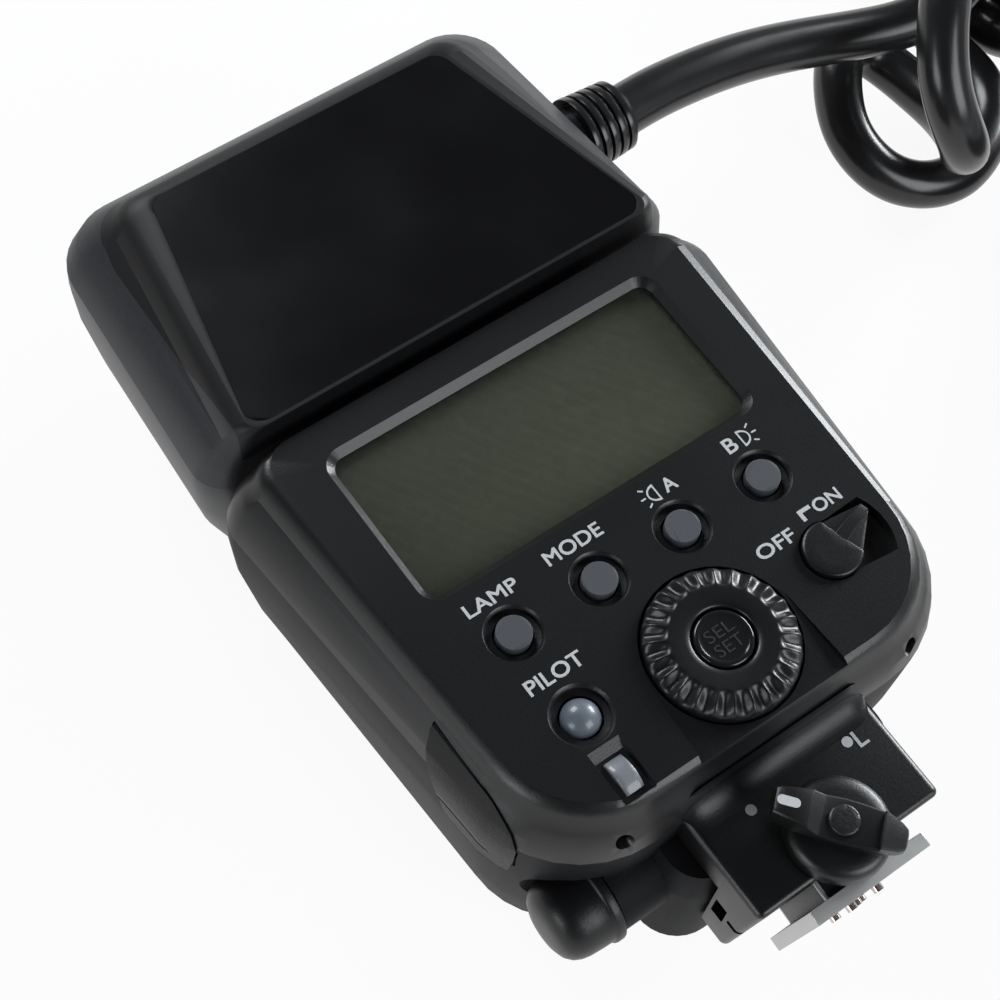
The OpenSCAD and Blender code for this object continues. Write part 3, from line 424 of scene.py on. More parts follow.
@dataclass(frozen=True)
class CrystalPane:
    """Resting liquid crystal: olive grey, paler toward the keys, with a faint grid of cells."""

    dark: Colour = (0.118, 0.127, 0.088)
    pale: Colour = (0.185, 0.193, 0.132)

    def make(self, name: str) -> bpy.types.Material:
        """Runs a slow gradient down the pane and draws the cell grid in it.

        Args:
            name: the material's name.

        Returns:
            The material.
        """
        paint = Paint(name)
        x, y, _ = paint.axes(paint.here())
        down = (DISPLAY[1] * MM + 0.014 - y) * 36.0
        grid = (x * 2400.0).wave() * (y * 2400.0).wave()
        tone = paint.mix(self.dark, self.pale, down + 0.03 * grid + 0.08 * paint.noise(50.0))
        return paint.finish({"Base Color": tone, "Roughness": 0.24 + 0.06 * paint.noise(400.0)})


@dataclass(frozen=True)
class ClearSheet:
    """Clear sheet: little of it is seen but its reflection."""

    cover: float = 0.10

    def make(self, name: str) -> bpy.types.Material:
        """Lets most light through and keeps a polish with faint smears.

        Args:
            name: the material's name.

        Returns:
            The material.
        """
        paint = Paint(name)
        smear = paint.noise(90.0, 4.0)
        return paint.finish({
            "Base Color": paint.mix((0.05, 0.055, 0.05), (0.07, 0.075, 0.07), smear),
            "Roughness": 0.05 + 0.1 * smear * smear,
            "Alpha": self.cover + 0.06 * smear,
        })


@dataclass(frozen=True)
class Opal:
    """Ribbed opal front of the flash tubes: rings of fine prisms in milky plastic, with painted light on
    their crests and painted shade in their troughs.
    """

    centre: Pair = (150.0, 20.5)
    pitch: float = 1.3

    def make(self, name: str) -> bpy.types.Material:
        """Turns the distance from the ring's middle into prism ridges, and paints their crests paler and
        their troughs darker.

        Args:
            name: the material's name.

        Returns:
            The material.
        """
        paint = Paint(name)
        x, y, _ = paint.axes(paint.here())
        dx, dy = x - self.centre[0] * MM, y - self.centre[1] * MM
        far = (dx * dx + dy * dy) ** 0.5
        ridge = (far * (2 * math.pi / (self.pitch * MM))).wave() * 0.5 + 0.5
        return paint.finish({
            # painted light and shade: paler on each crest, darker in each trough
            "Base Color": paint.mix((0.60, 0.62, 0.64), (0.76, 0.77, 0.77), ridge),
            "Roughness": 0.22 + 0.1 * paint.noise(600.0),
            "Coat Weight": 0.6,
            "Coat Roughness": 0.08,
            "Normal": paint.bump(ridge, 0.7, 0.5 * MM),
        })


@dataclass(frozen=True)
class Laminate:
    """Circuit board or wound coil: a base colour with tracks or turns drawn across it."""

    shade: Colour = (0.012, 0.075, 0.04)
    line: Colour = (0.03, 0.14, 0.075)
    pitch: float = 2.2
    gloss: float = 0.35

    def make(self, name: str) -> bpy.types.Material:
        """Draws tracks as level bands of two crossed noises.

        Args:
            name: the material's name.

        Returns:
            The material.
        """
        paint = Paint(name)
        x, y, z = paint.axes(paint.here())
        turn = 2 * math.pi / (self.pitch * MM)
        bands = ((x + 0.6 * y + 0.8 * z) * turn + 5.0 * paint.noise(120.0)).wave()
        track = bands > 0.35
        return paint.finish({
            "Base Color": paint.mix(self.shade, self.line, track),
            "Roughness": self.gloss + 0.1 * paint.noise(500.0),
            "Normal": paint.bump(track, 0.3, 0.04 * MM),
        })


class Finish(Enum):
    """The finishes that the pieces wear."""

    SHELL = Moulded((0.0055, 0.0056, 0.0064), 0.28, sheen=0.36)
    BELLY = Moulded((0.011, 0.0113, 0.0125), 0.41, sheen=0.06)
    PANEL = Moulded((0.0038, 0.0039, 0.0044), 0.27, 0.30, 0.04, 0.4)
    HOOD = Hood()
    GRIP = Moulded((0.010, 0.010, 0.011), 0.37, 0.55, 0.09, 0.8)
    GRAIN = Moulded((0.010, 0.010, 0.011), 0.27, 0.7, 0.14, 0.7)
    HIDDEN = Moulded((0.02, 0.02, 0.021), 0.51, 0.5, 0.05, 0.3)
    GLOSS = Polished()
    RIBBED = Polished((0.0045, 0.0045, 0.0052), 0.30)
    PLATE = Polished((0.0038, 0.0038, 0.0045), 0.16, haze=0.14)
    SLEEVE = Polished((0.02, 0.022, 0.05), 0.25, haze=0.1)
    RUBBER = Rubber()
    LEAF = LeafCover()
    STEEL = Metal()
    ROLLED = Metal((0.58, 0.58, 0.575), 0.46)
    DARK_STEEL = Metal((0.10, 0.10, 0.105), 0.34)
    COPPER = Metal((0.72, 0.42, 0.27), 0.24)
    NICKEL = Metal((0.66, 0.57, 0.52), 0.2)
    MIRROR = Metal((0.86, 0.86, 0.85), 0.12, lay=(1.0, 1.0, 1.0))
    KEY = KeyTop()
    PILOT = MilkyLens()
    READY = MilkyLens((0.13, 0.14, 0.165), (0.22, 0.23, 0.25), 420.0)
    TUBE = MilkyLens((0.66, 0.68, 0.70), (0.80, 0.81, 0.82), 90.0)
    CRYSTAL = CrystalPane()
    CLEAR = ClearSheet()
    OPAL = Opal()
    BOARD = Laminate()
    COIL = Laminate((0.24, 0.17, 0.045), (0.36, 0.27, 0.08), 0.9, 0.4)
    INK = Ink()
    GREY_INK = Ink((0.22, 0.225, 0.235))

    def material(self) -> bpy.types.Material:
        """The finish's material, made the first time it is asked for."""
        name = f"finish_{self.name.lower()}"
        return bpy.data.materials.get(name) or self.value.make(name)


class Ends(Enum):
    """How a grid of points ends."""

    OPEN = "open"
    POLES = "poles"
    LOOP = "loop"


def stand(points: np.ndarray) -> np.ndarray:
    """Takes points from millimetres about the display to metres in the frame."""
    return (np.asarray(points, float) + DISPLAY) * MM


def skin(name: str, rows: np.ndarray, round_rows: bool = True, ends: Ends = Ends.OPEN,
         sharp: float = SHARP) -> bpy.types.Object:
    """Makes a mesh from a grid of points: each cell between neighbours is a face.

    Args:
        name: the piece's name.
        rows: points by row and place in the row, in metres.
        round_rows: whether each row closes on itself.
        ends: open, a pole at the first and the last row, or the last row joined to the first.
        sharp: edges that turn by more than this many degrees stay crisp.

    Returns:
        The piece.
    """
    count, wide = rows.shape[:2]
    points = rows.reshape(-1, 3)
    row = np.arange(count if ends is Ends.LOOP else count - 1)[:, None]
    place = np.arange(wide if round_rows else wide - 1)[None, :]
    after, above = (place + 1) % wide, (row + 1) % count
    cells = np.stack([row * wide + place, row * wide + after, above * wide + after, above * wide + place], -1)
    faces = cells.reshape(-1, 4).tolist()
    if ends is Ends.POLES:
        points = np.vstack([points, rows[0].mean(0), rows[-1].mean(0)])
        ring = np.arange(wide)
        step = (ring + 1) % wide
        low = np.stack([np.full(wide, count * wide), step, ring], -1)
        top = (count - 1) * wide
        high = np.stack([np.full(wide, count * wide + 1), top + ring, top + step], -1)
        faces += low.tolist() + high.tolist()
    return piece(name, points, faces, sharp)


def piece(name: str, points: np.ndarray, faces: list[list[int]], sharp: float = SHARP) -> bpy.types.Object:
    """Puts points and faces into a new object at the origin.

    Args:
        name: the piece's name.
        points: the points, in metres.
        faces: the faces, by point.
        sharp: edges that turn by more than this many degrees stay crisp.

    Returns:
        The piece.
    """
    mesh = bpy.data.meshes.new(name)
    mesh.from_pydata(points.tolist(), [], faces)
    mesh.shade_smooth()
    mesh.set_sharp_from_angle(angle=math.radians(sharp))
    made = bpy.data.objects.new(name, mesh)
    bpy.context.scene.collection.objects.link(made)
    return made


def wear(made: bpy.types.Object, finish: Finish, body: str, slot: str) -> bpy.types.Object:
    """Gives a new piece its finish and its body, and reports it.

    Args:
        made: the piece.
        finish: what it wears.
        body: the body that it moves with.
        slot: not used.

    Returns:
        The same piece.
    """
    made.data.materials.clear()
    made.data.materials.append(finish.material())
    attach(made, body)
    log.info("%s: %d faces, on %s", made.name, len(made.data.polygons), body)
    return made


def columns(table: Sequence[Sequence[float]]) -> list[np.ndarray]:
    """The columns of a table, each upright, so that they spread over a grid."""
    return [np.array(c, float)[:, None] for c in zip(*table)]


def level(points: np.ndarray, height: float) -> np.ndarray:
    """Lays flat points at a height."""
    return np.concatenate([points, np.full((*points.shape[:-1], 1), height)], -1)


def turned(profile: Pairs) -> Sequence[np.ndarray]:
    """Turns a profile about its axis: each radius becomes a circle.

    Args:
        profile: radii, and places along the axis.

    Returns:
        The grid's two places across the axis, and the one along it.
    """
    radius, along = columns(profile)
    turn = np.linspace(0, 2 * math.pi, ROUND_STEPS, endpoint=False)
    return np.broadcast_arrays(radius * np.cos(turn), radius * np.sin(turn), along)


def revolve(name: str, profile: Pairs, centre: Sequence[float]) -> bpy.types.Object:
    """Stands a turned profile upright on its centre, the outside going up."""
    return skin(name, stand(np.stack(turned(profile), -1) + np.asarray(centre)), True, Ends.POLES)


def bar(stations: Sequence[Sequence[float]], section: Pairs, foot: float) -> Sequence[np.ndarray]:
    """Carries a section with shoulders along a bar: it is as wide as the bar and hangs from its top.

    Args:
        stations: places along the bar, with its half width and its top there.
        section: shares of the half width, and drops below the top.
        foot: the lowest level.

    Returns:
        The grid's places along, across and up.
    """
    along, half, top = columns(stations)
    share, drop = np.array(section, float).T
    return np.broadcast_arrays(along, half * share, np.maximum(top - drop, foot))


def swing(centre: Sequence[float], degrees: float, along: Reach, across: Reach, up: Reach) -> np.ndarray:
    """Turns points of a pointer about its centre.

    Args:
        centre: the point that it turns about.
        degrees: where the pointer points, from the right.
        along: places along the pointer.
        across: places across it, to the left.
        up: heights over the centre.

    Returns:
        The points.
    """
    c, s = math.cos(math.radians(degrees)), math.sin(math.radians(degrees))
    x = centre[0] + along * c - across * s
    y = centre[1] + along * s + across * c
    return np.stack(np.broadcast_arrays(x, y, centre[2] + up), -1)


def oblong(half: Sequence[float], radius: float, inward: float = 0.0, count: int = 6) -> np.ndarray:
    """A rounded oblong about the origin: quarter circles about the centres of its four corners.

    Args:
        half: half its two sides.
        radius: the rounding.
        inward: how far the outline is drawn in.
        count: points in each quarter.

    Returns:
        The outline, flat.
    """
    bend = np.linspace(0, QUARTER, count)[None] + np.arange(4)[:, None] * QUARTER
    corner = np.array([[1, 1], [-1, 1], [-1, -1], [1, -1]])[:, None]
    arc = (radius - inward) * np.stack([np.cos(bend), np.sin(bend)], -1)
    return (corner * (np.asarray(half) - radius) + arc).reshape(-1, 2)


def capsule(name: str, spine: np.ndarray, width: float, height: float, finish: Finish, body: str) -> None:
    """Prints a flat line with round ends: a fan of points round the spine's two ends.

    Args:
        name: the mark's name.
        spine: its two ends.
        width: the line's width.
        height: where it lies.
        finish: the ink.
        body: the body that it is printed on.
    """
    turn = math.atan2(*(spine[1] - spine[0])[::-1]) + np.linspace(-QUARTER, QUARTER, 13)
    fan = width / 2 * np.stack([np.cos(turn), np.sin(turn)], -1)
    ring = level(np.vstack([spine[1] + fan, spine[0] - fan]), height)
    wear(piece(name, stand(ring), [list(range(len(ring)))]), finish, body, "grey_key")


def lettering(word: str, box: tuple[float, float, float, float], height: float, finish: Finish, body: str,
              thick: float = 0.0, bold: float = 0.0) -> None:
    """Sets a word as a mesh that fills its box, flat or raised.

    Args:
        word: the letters.
        box: left, right, low and high sides.
        height: where it lies.
        finish: the ink, or the plastic of raised letters.
        body: the body that carries it.
        thick: how far it is raised.
        bold: how far four prints of the word stand off the middle, which fattens its strokes.
    """
    curve = bpy.data.curves.new("letters", "FONT")
    curve.body = word
    curve.resolution_u = 4
    curve.extrude = 0.5 if thick else 0.0
    carrier = bpy.data.objects.new("letters", curve)
    bpy.context.scene.collection.objects.link(carrier)
    mesh = bpy.data.meshes.new_from_object(carrier.evaluated_get(bpy.context.evaluated_depsgraph_get()))
    points = np.empty(len(mesh.vertices) * 3)
    mesh.vertices.foreach_get("co", points)
    points = points.reshape(-1, 3)
    least, most = points.min(0), points.max(0)
    share = (points - least) / np.maximum(most - least, 1e-6)
    left, right, low, high = box
    flat = np.column_stack([left + bold + share[:, 0] * (right - left - 2 * bold),
                            low + bold + share[:, 1] * (high - low - 2 * bold), height + share[:, 2] * thick])
    shifts = bold * np.array([[-1, -1, 0], [1, -1, 0.02], [1, 1, 0.04], [-1, 1, 0.06]][:4 if bold else 1])
    faces = [[v + k * len(flat) for v in face.vertices] for k in range(len(shifts)) for face in mesh.polygons]
    bpy.data.objects.remove(carrier)
    made = piece(f"label_{word.lower()}", stand((flat + shifts[:, None]).reshape(-1, 3)), faces)
    wear(made, finish, body, "grey_key")


def carve(made: bpy.types.Object, holes: Sequence[tuple[Colour, Colour]]) -> None:
    """Cuts oblong holes out of a new piece.

    Args:
        made: the piece.
        holes: the low and high corners of each hole.
    """
    corners = np.array([[(k >> a) & 1 for a in range(3)] for k in range(8)])
    faces = [[0, 2, 3, 1], [4, 5, 7, 6], [0, 1, 5, 4], [2, 6, 7, 3], [0, 4, 6, 2], [1, 3, 7, 5]]
    cutters = []
    for low, high in holes:
        cutters.append(piece("cutter", stand(np.where(corners, high, low)), faces))
        made.modifiers.new("cut", "BOOLEAN").object = cutters[-1]
    mesh = bpy.data.meshes.new_from_object(made.evaluated_get(bpy.context.evaluated_depsgraph_get()))
    mesh.shade_smooth()
    mesh.set_sharp_from_angle(angle=math.radians(SHARP))
    made.modifiers.clear()
    made.data = mesh
    for cutter in cutters:
        bpy.data.objects.remove(cutter)


def soften(made: bpy.types.Object, radius: float, bend: float = 28.0, gap: float = 0.002) -> None:
    """Rounds a solid's edges with live modifiers, so that they catch the light.

    Args:
        made: the node.
        radius: the rounding.
        bend: edges that turn by more than this many degrees are rounded.
        gap: points nearer than this become one.
    """
    weld = made.modifiers.new("weld", "WELD")
    weld.merge_threshold = gap * MM
    if radius > 0:
        bevel = made.modifiers.new("round", "BEVEL")
        bevel.limit_method = "ANGLE"
        bevel.angle_limit = math.radians(bend)
        bevel.width = radius * MM
        bevel.segments = 2
        bevel.use_clamp_overlap = True
    even = made.modifiers.new("even", "WEIGHTED_NORMAL")
    even.weight = 60
    even.keep_sharp = False


@dataclass
class Viewpoint:
    """The camera, where the photograph was taken from."""

    place: Triple = (-0.10569, -0.02799, 0.26969)
    right: Triple = (0.80677, -0.58443, 0.08695)
    up: Triple = (0.48835, 0.74238, 0.45868)
    back: Triple = (-0.33262, -0.32758, 0.88434)
    lens: float = 79.2
    sensor: float = 36.0
    clip: Pair = (0.01, 20.0)

    def build(self) -> None:
        """Stands the camera there, its axes as columns of its matrix."""
        data = bpy.data.cameras.new("camera")
        data.lens, data.sensor_width = self.lens, self.sensor
        data.clip_start, data.clip_end = self.clip
        camera = bpy.data.objects.new("camera", data)
        turn = np.eye(4)
        turn[:3, :] = np.stack([self.right, self.up, self.back, self.place], 1)
        camera.matrix_world = Matrix(turn.tolist())
        bpy.context.scene.collection.objects.link(camera)
        bpy.context.scene.camera = camera


@dataclass
class Studio:
    """White floor, four soft lamps and a sky that is dark overhead."""

    reach: float = 3.0
    posts: int = 9
    gap: float = 0.1
    aim: Triple = (0.0, 0.07, 0.0)
    paper: tuple[Colour, Colour] = ((0.80, 0.80, 0.80), (0.83, 0.83, 0.83))
    sky: float = 0.26
    white: float = 0.93
    tint: Colour = (0.93, 0.97, 1.0)
    tones: tuple[tuple[float, Colour], ...] = (
        (0.0, (0.95, 0.95, 0.95)), (0.3, (0.7, 0.7, 0.7)), (0.62, (0.10, 0.10, 0.105)))
    lamps: tuple[tuple[Triple, float, float], ...] = (
        ((0.26, -0.80, 0.50), 0.60, 6.0),
        ((0.94, 0.17, 0.24), 0.45, 14.0),
        ((-0.05, 0.95, 0.62), 0.50, 8.0),
        ((-0.95, -0.05, 0.30), 0.45, 3.0),
    )

    def build(self) -> None:
        """Lays the floor, hangs the lamps and sets the sky."""
        side = np.linspace(-self.reach, self.reach, self.posts)
        flat = np.stack(np.meshgrid(side, side), -1)
        floor = skin("floor", level(flat, (FLOOR_Z - self.gap) * MM), False)
        floor.data.materials.append(self._paper())
        for index, (place, size, power) in enumerate(self.lamps):
            data = bpy.data.lights.new(f"softbox_{index}", "AREA")
            data.size, data.energy, data.color = size, power, self.tint
            lamp = bpy.data.objects.new(f"softbox_{index}", data)
            lamp.location = place
            lamp.rotation_mode = "QUATERNION"
            lamp.rotation_quaternion = (Vector(self.aim) - lamp.location).to_track_quat("-Z", "Y")
            bpy.context.scene.collection.objects.link(lamp)
        self._sky()
        bpy.context.scene.view_settings.view_transform = "Standard"

    def _paper(self) -> bpy.types.Material:
        """Pale paper that the camera and reflections see white, with the object's shadow on it.

        Returns:
            The paper.
        """
        paint = Paint("paper")
        fibre = paint.noise(900.0, 3.0)
        sheet = paint.node("ShaderNodeBsdfPrincipled", None, {
            "Base Color": paint.mix(*self.paper, fibre), "Roughness": 0.9})
        glow = paint.node("ShaderNodeEmission", None, {"Color": (1.0, 1.0, 1.0), "Strength": 1.0})
        ray = paint.node("ShaderNodeLightPath").socket.node
        kinds = ("Is Camera Ray", "Is Glossy Ray", "Is Transmission Ray")
        seen = [Value(paint, ray.outputs[kind]) for kind in kinds]
        share = (seen[0] + seen[1] + seen[2]) * self.white
        both = paint.node("ShaderNodeMixShader", None, {0: share, 1: sheet, 2: glow})
        paint.node("ShaderNodeOutputMaterial", None, {"Surface": both})
        return paint.material

    def _sky(self) -> None:
        """An even grey sky that the camera sees white, darker overhead than at the horizon."""
        paint = Paint("sky", True)
        bpy.context.scene.world = paint.material
        _, _, up = paint.axes(paint.node("ShaderNodeTexCoord", out="Generated"))
        tone = paint.node("ShaderNodeValToRGB", {"stops": self.tones}, {0: up})
        light = paint.node("ShaderNodeBackground", None, {"Color": tone, "Strength": self.sky})
        white = paint.node("ShaderNodeBackground", None, {"Color": (1.0, 1.0, 1.0)})
        camera = paint.node("ShaderNodeLightPath", out="Is Camera Ray")
        both = paint.node("ShaderNodeMixShader", None, {0: camera, 1: light, 2: white})
        paint.node("ShaderNodeOutputWorld", None, {"Surface": both})


@dataclass
class CurlyCord:
    """The rubber cord: a lead with two loops, eight curls and a short tail into the ring head."""

    thick: float = 8.0
    curl_radius: float = 10.5
    curl_pitch: float = 9.0
    curls: int = 8
    curl_steps: int = 36
    heading: Triple = (0.98, 0.2, 0.0)
    start: Triple = (121.5, 39.0, -42.0)
    sides: int = 24
    ease_steps: int = 8
    ring_exit: Triple = (199.5, 70.0, -17.6)
    exit_turn: float = 45.0
    exit_run: float = 8.0
    lead: Triples = (
        (47, 42.5, -12), (54.5, 43, -12.5), (64.5, 43, -14), (74, 42.5, -16), (83.5, 41, -18), (93, 39, -20),
        (101.5, 37, -21), (108.5, 36, -20.5), (114.5, 36.5, -17.5), (117, 37, -12), (114, 37, -6),
        (107.5, 35, -3), (101, 31, -3), (97, 27, -5), (94.5, 23, -8.5), (93, 19, -12), (93.5, 15.5, -16.5),
        (95.5, 13.5, -21.5), (99, 15, -27.5), (104, 19.5, -32.5), (107, 25.5, -35.5), (107.5, 33, -37),
        (106.5, 40, -37), (103.5, 44, -35), (99.5, 44, -32), (95.5, 41.5, -31), (92.5, 37.5, -32.5),
        (90.5, 32.5, -35), (91, 27, -37.5), (94, 22, -40), (99.5, 18.5, -41.5), (106, 17.5, -42),
        (113, 20, -42), (119, 24.5, -42))
    tail: Triples = (
        (193.5, 68, -41.5), (200, 75, -40), (210, 76.5, -38), (219, 70.5, -36), (223.2, 60, -35),
        (222, 47, -34.5), (215, 35, -34.5))

    @staticmethod
    def _ease(points: np.ndarray, steps: int) -> np.ndarray:
        """Runs a smooth curve through points: each stretch is the cubic whose slopes at its ends are half
        the chord between the points on either side.

        Args:
            points: the points that the curve goes through.
            steps: how many parts each stretch is cut into.

        Returns:
            The curve's points.
        """
        q = np.vstack([2 * points[0] - points[1], points, 2 * points[-1] - points[-2]])
        a, b, c, d = (q[i:len(q) - 3 + i, None] for i in range(4))
        t = (np.arange(steps) / steps)[None, :, None]
        run = 0.5 * (2 * b + (c - a) * t + (2 * a - 5 * b + 4 * c - d) * t ** 2
                     + (3 * b - a - 3 * c + d) * t ** 3)
        return np.vstack([run.reshape(-1, 3), points[-1]])

    def route(self) -> np.ndarray:
        """The whole centreline: eased lead, a helix that advances one pitch a turn, and eased tail.

        Returns:
            The points, in metres in the frame.
        """
        axis = np.array(self.heading) / np.linalg.norm(self.heading)
        upward = np.array([0.0, 0.0, 1.0])
        side = np.cross(upward, axis)
        centre = np.array(self.start) + self.curl_radius * upward
        turn = np.linspace(0, 2 * math.pi * self.curls, self.curl_steps * self.curls + 1)[:, None]
        helix = (centre + turn / (2 * math.pi) * self.curl_pitch * axis
                 + self.curl_radius * (np.sin(turn) * side - np.cos(turn) * upward))
        slope = self.curl_pitch / (2 * math.pi) * axis + self.curl_radius * side
        slope /= np.linalg.norm(slope)
        first, last = helix[0] - self.thick * slope, helix[-1] + self.thick * slope
        out = np.array(self.ring_exit) - DISPLAY
        away = swing(out, self.exit_turn, self.exit_run, 0.0, 0.0)
        lead = self._ease(np.vstack([self.lead, first]), self.ease_steps)
        tail = self._ease(np.vstack([last, self.tail, away, out]), self.ease_steps)
        eased = self._relax(np.vstack([lead, helix, tail]))
        eased[:, 2] = np.maximum(eased[:, 2], self.start[2])
        return stand(eased)

    @staticmethod
    def _relax(points: np.ndarray, step: float = 1.0, rounds: int = 14) -> np.ndarray:
        """Sets a curve's points at even steps and eases its corners: in each round every inner point moves
        half way to the middle of its neighbours.

        Args:
            points: the curve.
            step: the distance between points.
            rounds: how often the points move.

        Returns:
            The eased curve, with the same ends.
        """
        run = np.concatenate([[0.0], np.cumsum(np.linalg.norm(np.diff(points, axis=0), axis=1))])
        marks = np.linspace(0.0, run[-1], int(run[-1] / step) + 1)
        even = np.stack([np.interp(marks, run, points[:, k]) for k in range(3)], -1)
        for _ in range(rounds):
            even[1:-1] += 0.5 * (0.5 * (even[:-2] + even[2:]) - even[1:-1])
        return even

    def build(self) -> None:
        """Carries a circle along the route, its frame turned as little as can be from point to point."""
        path = self.route()
        along = np.gradient(path, axis=0)
        along /= np.linalg.norm(along, axis=1, keepdims=True)
        first = np.cross(along[0], (0.0, 0.0, 1.0))
        normals = [first / np.linalg.norm(first)]
        for direction in along[1:]:
            flat = normals[-1] - direction * np.dot(direction, normals[-1])
            normals.append(flat / np.linalg.norm(flat))
        normal = np.array(normals)
        cross = np.cross(along, normal)
        turn = np.linspace(0, 2 * math.pi, self.sides, endpoint=False)
        ring = (np.cos(turn)[None, :, None] * normal[:, None] + np.sin(turn)[None, :, None] * cross[:, None])
        made = skin("curly_cord", path[:, None] + ring * self.thick / 2 * MM, True, Ends.POLES)
        wear(made, Finish.RUBBER, "unit", "rubber")
        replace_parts(made, "cord_lead", "cord_curls", "cord_tail")


@dataclass
class FacePanel:
    """The printed face: key labels, lamp signs and the switch's corner mark."""

    rise: float = 0.02
    stroke: float = 0.24
    bold: float = 0.05
    words: tuple[tuple[str, float, float, float, float], ...] = (
        ("LAMP", -24.0, -15.95, -16.77, -14.8), ("MODE", -11.1, -2.25, -16.5, -14.42),
        ("PILOT", -23.7, -15.1, -29.68, -27.53), ("A", 8.2, 10.15, -16.43, -14.36),
        ("B", 18.74, 20.5, -16.5, -14.25), ("OFF", 12.4, 18.45, -31.2, -29.15),
        ("ON", 23.05, 27.4, -29.82, -27.85))
    signs: tuple[tuple[str, float, float, float], ...] = (("a", 7.2, -15.48, -1.0), ("b", 21.35, -15.42, 1.0))
    bulge: Pair = (1.55, 1.3)
    rays: Triple = (-33.0, 0.0, 33.0)
    ray_reach: Pair = (1.98, 2.55)
    corner: Pairs = (
        (20.7, -29.76), (21.3, -29.76), (21.3, -28.6), (22.75, -28.6), (22.75, -28.02), (20.7, -28.02))

    def build(self) -> None:
        """Prints every word and sign."""
        for word, *box in self.words:
            lettering(word, tuple(box), self.rise, Finish.INK, "unit", bold=self.bold)
        for name, x, y, side in self.signs:
            self._sign(name, np.array([x, y]), side)
        ring = level(np.array(self.corner), self.rise)
        wear(piece("switch_corner", stand(ring), [list(range(len(ring)))]), Finish.INK, "unit", "grey_key")

    def _sign(self, name: str, flat: np.ndarray, side: float) -> None:
        """Prints a lamp sign: a band between two half ovals, and three rays out of the round side.

        Args:
            name: the sign's letter.
            flat: the middle of the straight side.
            side: one where the round side is to the right, less one to the left.
        """
        turn = np.linspace(-QUARTER, QUARTER, 25)[::int(side)]
        wide, tall = self.bulge
        arc = np.stack([np.cos(turn) * side, np.sin(turn)], -1)
        outer = flat + arc * (wide, tall)
        inner = flat + (side * self.stroke, 0.0) + arc * (wide - 2 * self.stroke, tall - 1.5 * self.stroke)
        rows = level(np.stack([outer, inner]), self.rise)
        wear(skin(f"lamp_sign_{name}", stand(rows)), Finish.INK, "unit", "grey_key")
        for index, degrees in enumerate(self.rays):
            a = math.radians(degrees)
            spine = flat + np.outer(self.ray_reach, (side * math.cos(a), math.sin(a)))
            capsule(f"lamp_ray_{name}{index}", spine, self.stroke, self.rise, Finish.INK, "unit")


@dataclass
class SocketCap:
    """The rubber drum over the sync socket, with a bead round its mouth."""

    mouth: Triple = (-25.7, -50.4, -22.4)
    profile: Pairs = (
        (1.0, 5.2), (3.6, 5.2), (3.6, 0.0), (6.35, 0.0), (6.53, 0.08), (6.6, 0.3), (6.6, 1.1), (6.52, 1.35),
        (6.3, 1.5), (6.2, 1.7), (6.14, 3.4), (6.0, 5.2), (5.75, 6.3), (5.3, 7.2), (4.6, 7.9), (3.6, 8.35),
        (2.2, 8.55), (0.8, 8.6))

    def build(self) -> None:
        """Turns the profile, radii and distances from the mouth, about the socket's own axis."""
        deep, side, along = turned(self.profile)
        rows = np.stack([self.mouth[0] - along, self.mouth[1] + side, self.mouth[2] + deep], -1)
        drum = skin("cap_drum", stand(rows), True, Ends.POLES)
        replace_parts(wear(drum, Finish.SHELL, "socket_cap", "satin_black"), "sync_cap")


@dataclass
class SelectDial:
    """The ribbed dial and the key in its middle."""

    centre: Triple = (0.8, -37.2, 0.0)
    ribs: int = 24
    steps: int = 16
    gap_power: float = 0.8
    section: tuple[tuple[float, float, float, float], ...] = (
        (4.3, -1.5, 0.0, 0.0), (4.3, 1.5, 0.0, 0.0), (4.38, 1.7, 0.0, 0.0), (4.6, 1.84, 0.0, 0.0),
        (5.2, 1.92, 0.0, 0.0), (6.2, 1.98, 0.0, 0.0), (7.0, 2.02, 0.0, 0.0), (7.3, 2.02, 0.0, 0.03),
        (7.6, 2.0, 0.0, 0.32), (8.0, 1.96, 0.0, 0.62), (8.6, 1.88, 0.0, 0.85), (9.2, 1.72, 0.0, 0.92),
        (9.7, 1.45, 0.03, 0.82), (10.1, 1.02, 0.08, 0.55), (10.35, 0.5, 0.1, 0.25), (10.46, -0.1, 0.08, 0.05),
        (10.48, -1.5, 0.0, 0.0))
    key: Pairs = (
        (4.0, -3.3), (4.0, 1.35), (3.93, 1.6), (3.75, 1.76), (3.5, 1.8), (3.3, 1.74), (3.1, 1.64), (2.8, 1.6),
        (1.4, 1.6))
    words: tuple[tuple[str, float], ...] = (("SEL", 0.25), ("SET", -2.0))
    word_size: Pair = (4.2, 1.75)
    word_floor: float = 1.5
    word_rise: float = 0.16

    def build(self) -> None:
        """Makes the ring of ribs: each point of the section is pulled in and down by a raised cosine of the
        angle, nought on a rib and one between ribs. The key is a turned profile with raised letters."""
        turn = np.linspace(0, 2 * math.pi, self.ribs * self.steps, endpoint=False)
        gap = (0.5 - 0.5 * np.cos(self.ribs * turn)) ** self.gap_power
        radius, height, inward, downward = columns(self.section)
        far = radius - inward * gap
        rows = np.stack([self.centre[0] + far * np.cos(turn), self.centre[1] + far * np.sin(turn),
                         height - downward * gap], -1)
        ring = wear(skin("dial_ring", stand(rows), True, Ends.LOOP, 50), Finish.RIBBED, "dial", "gloss_black")
        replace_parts(ring, "select_dial")
        key = wear(revolve("set_key_top", self.key, self.centre), Finish.GLOSS, "set_key", "gloss_black")
        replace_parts(key, "set_button")
        left = self.centre[0] - self.word_size[0] / 2
        for word, shift in self.words:
            low = self.centre[1] + shift
            box = (left, left + self.word_size[0], low, low + self.word_size[1])
            lettering(word, box, self.word_floor, Finish.GRIP, "set_key", self.word_rise)


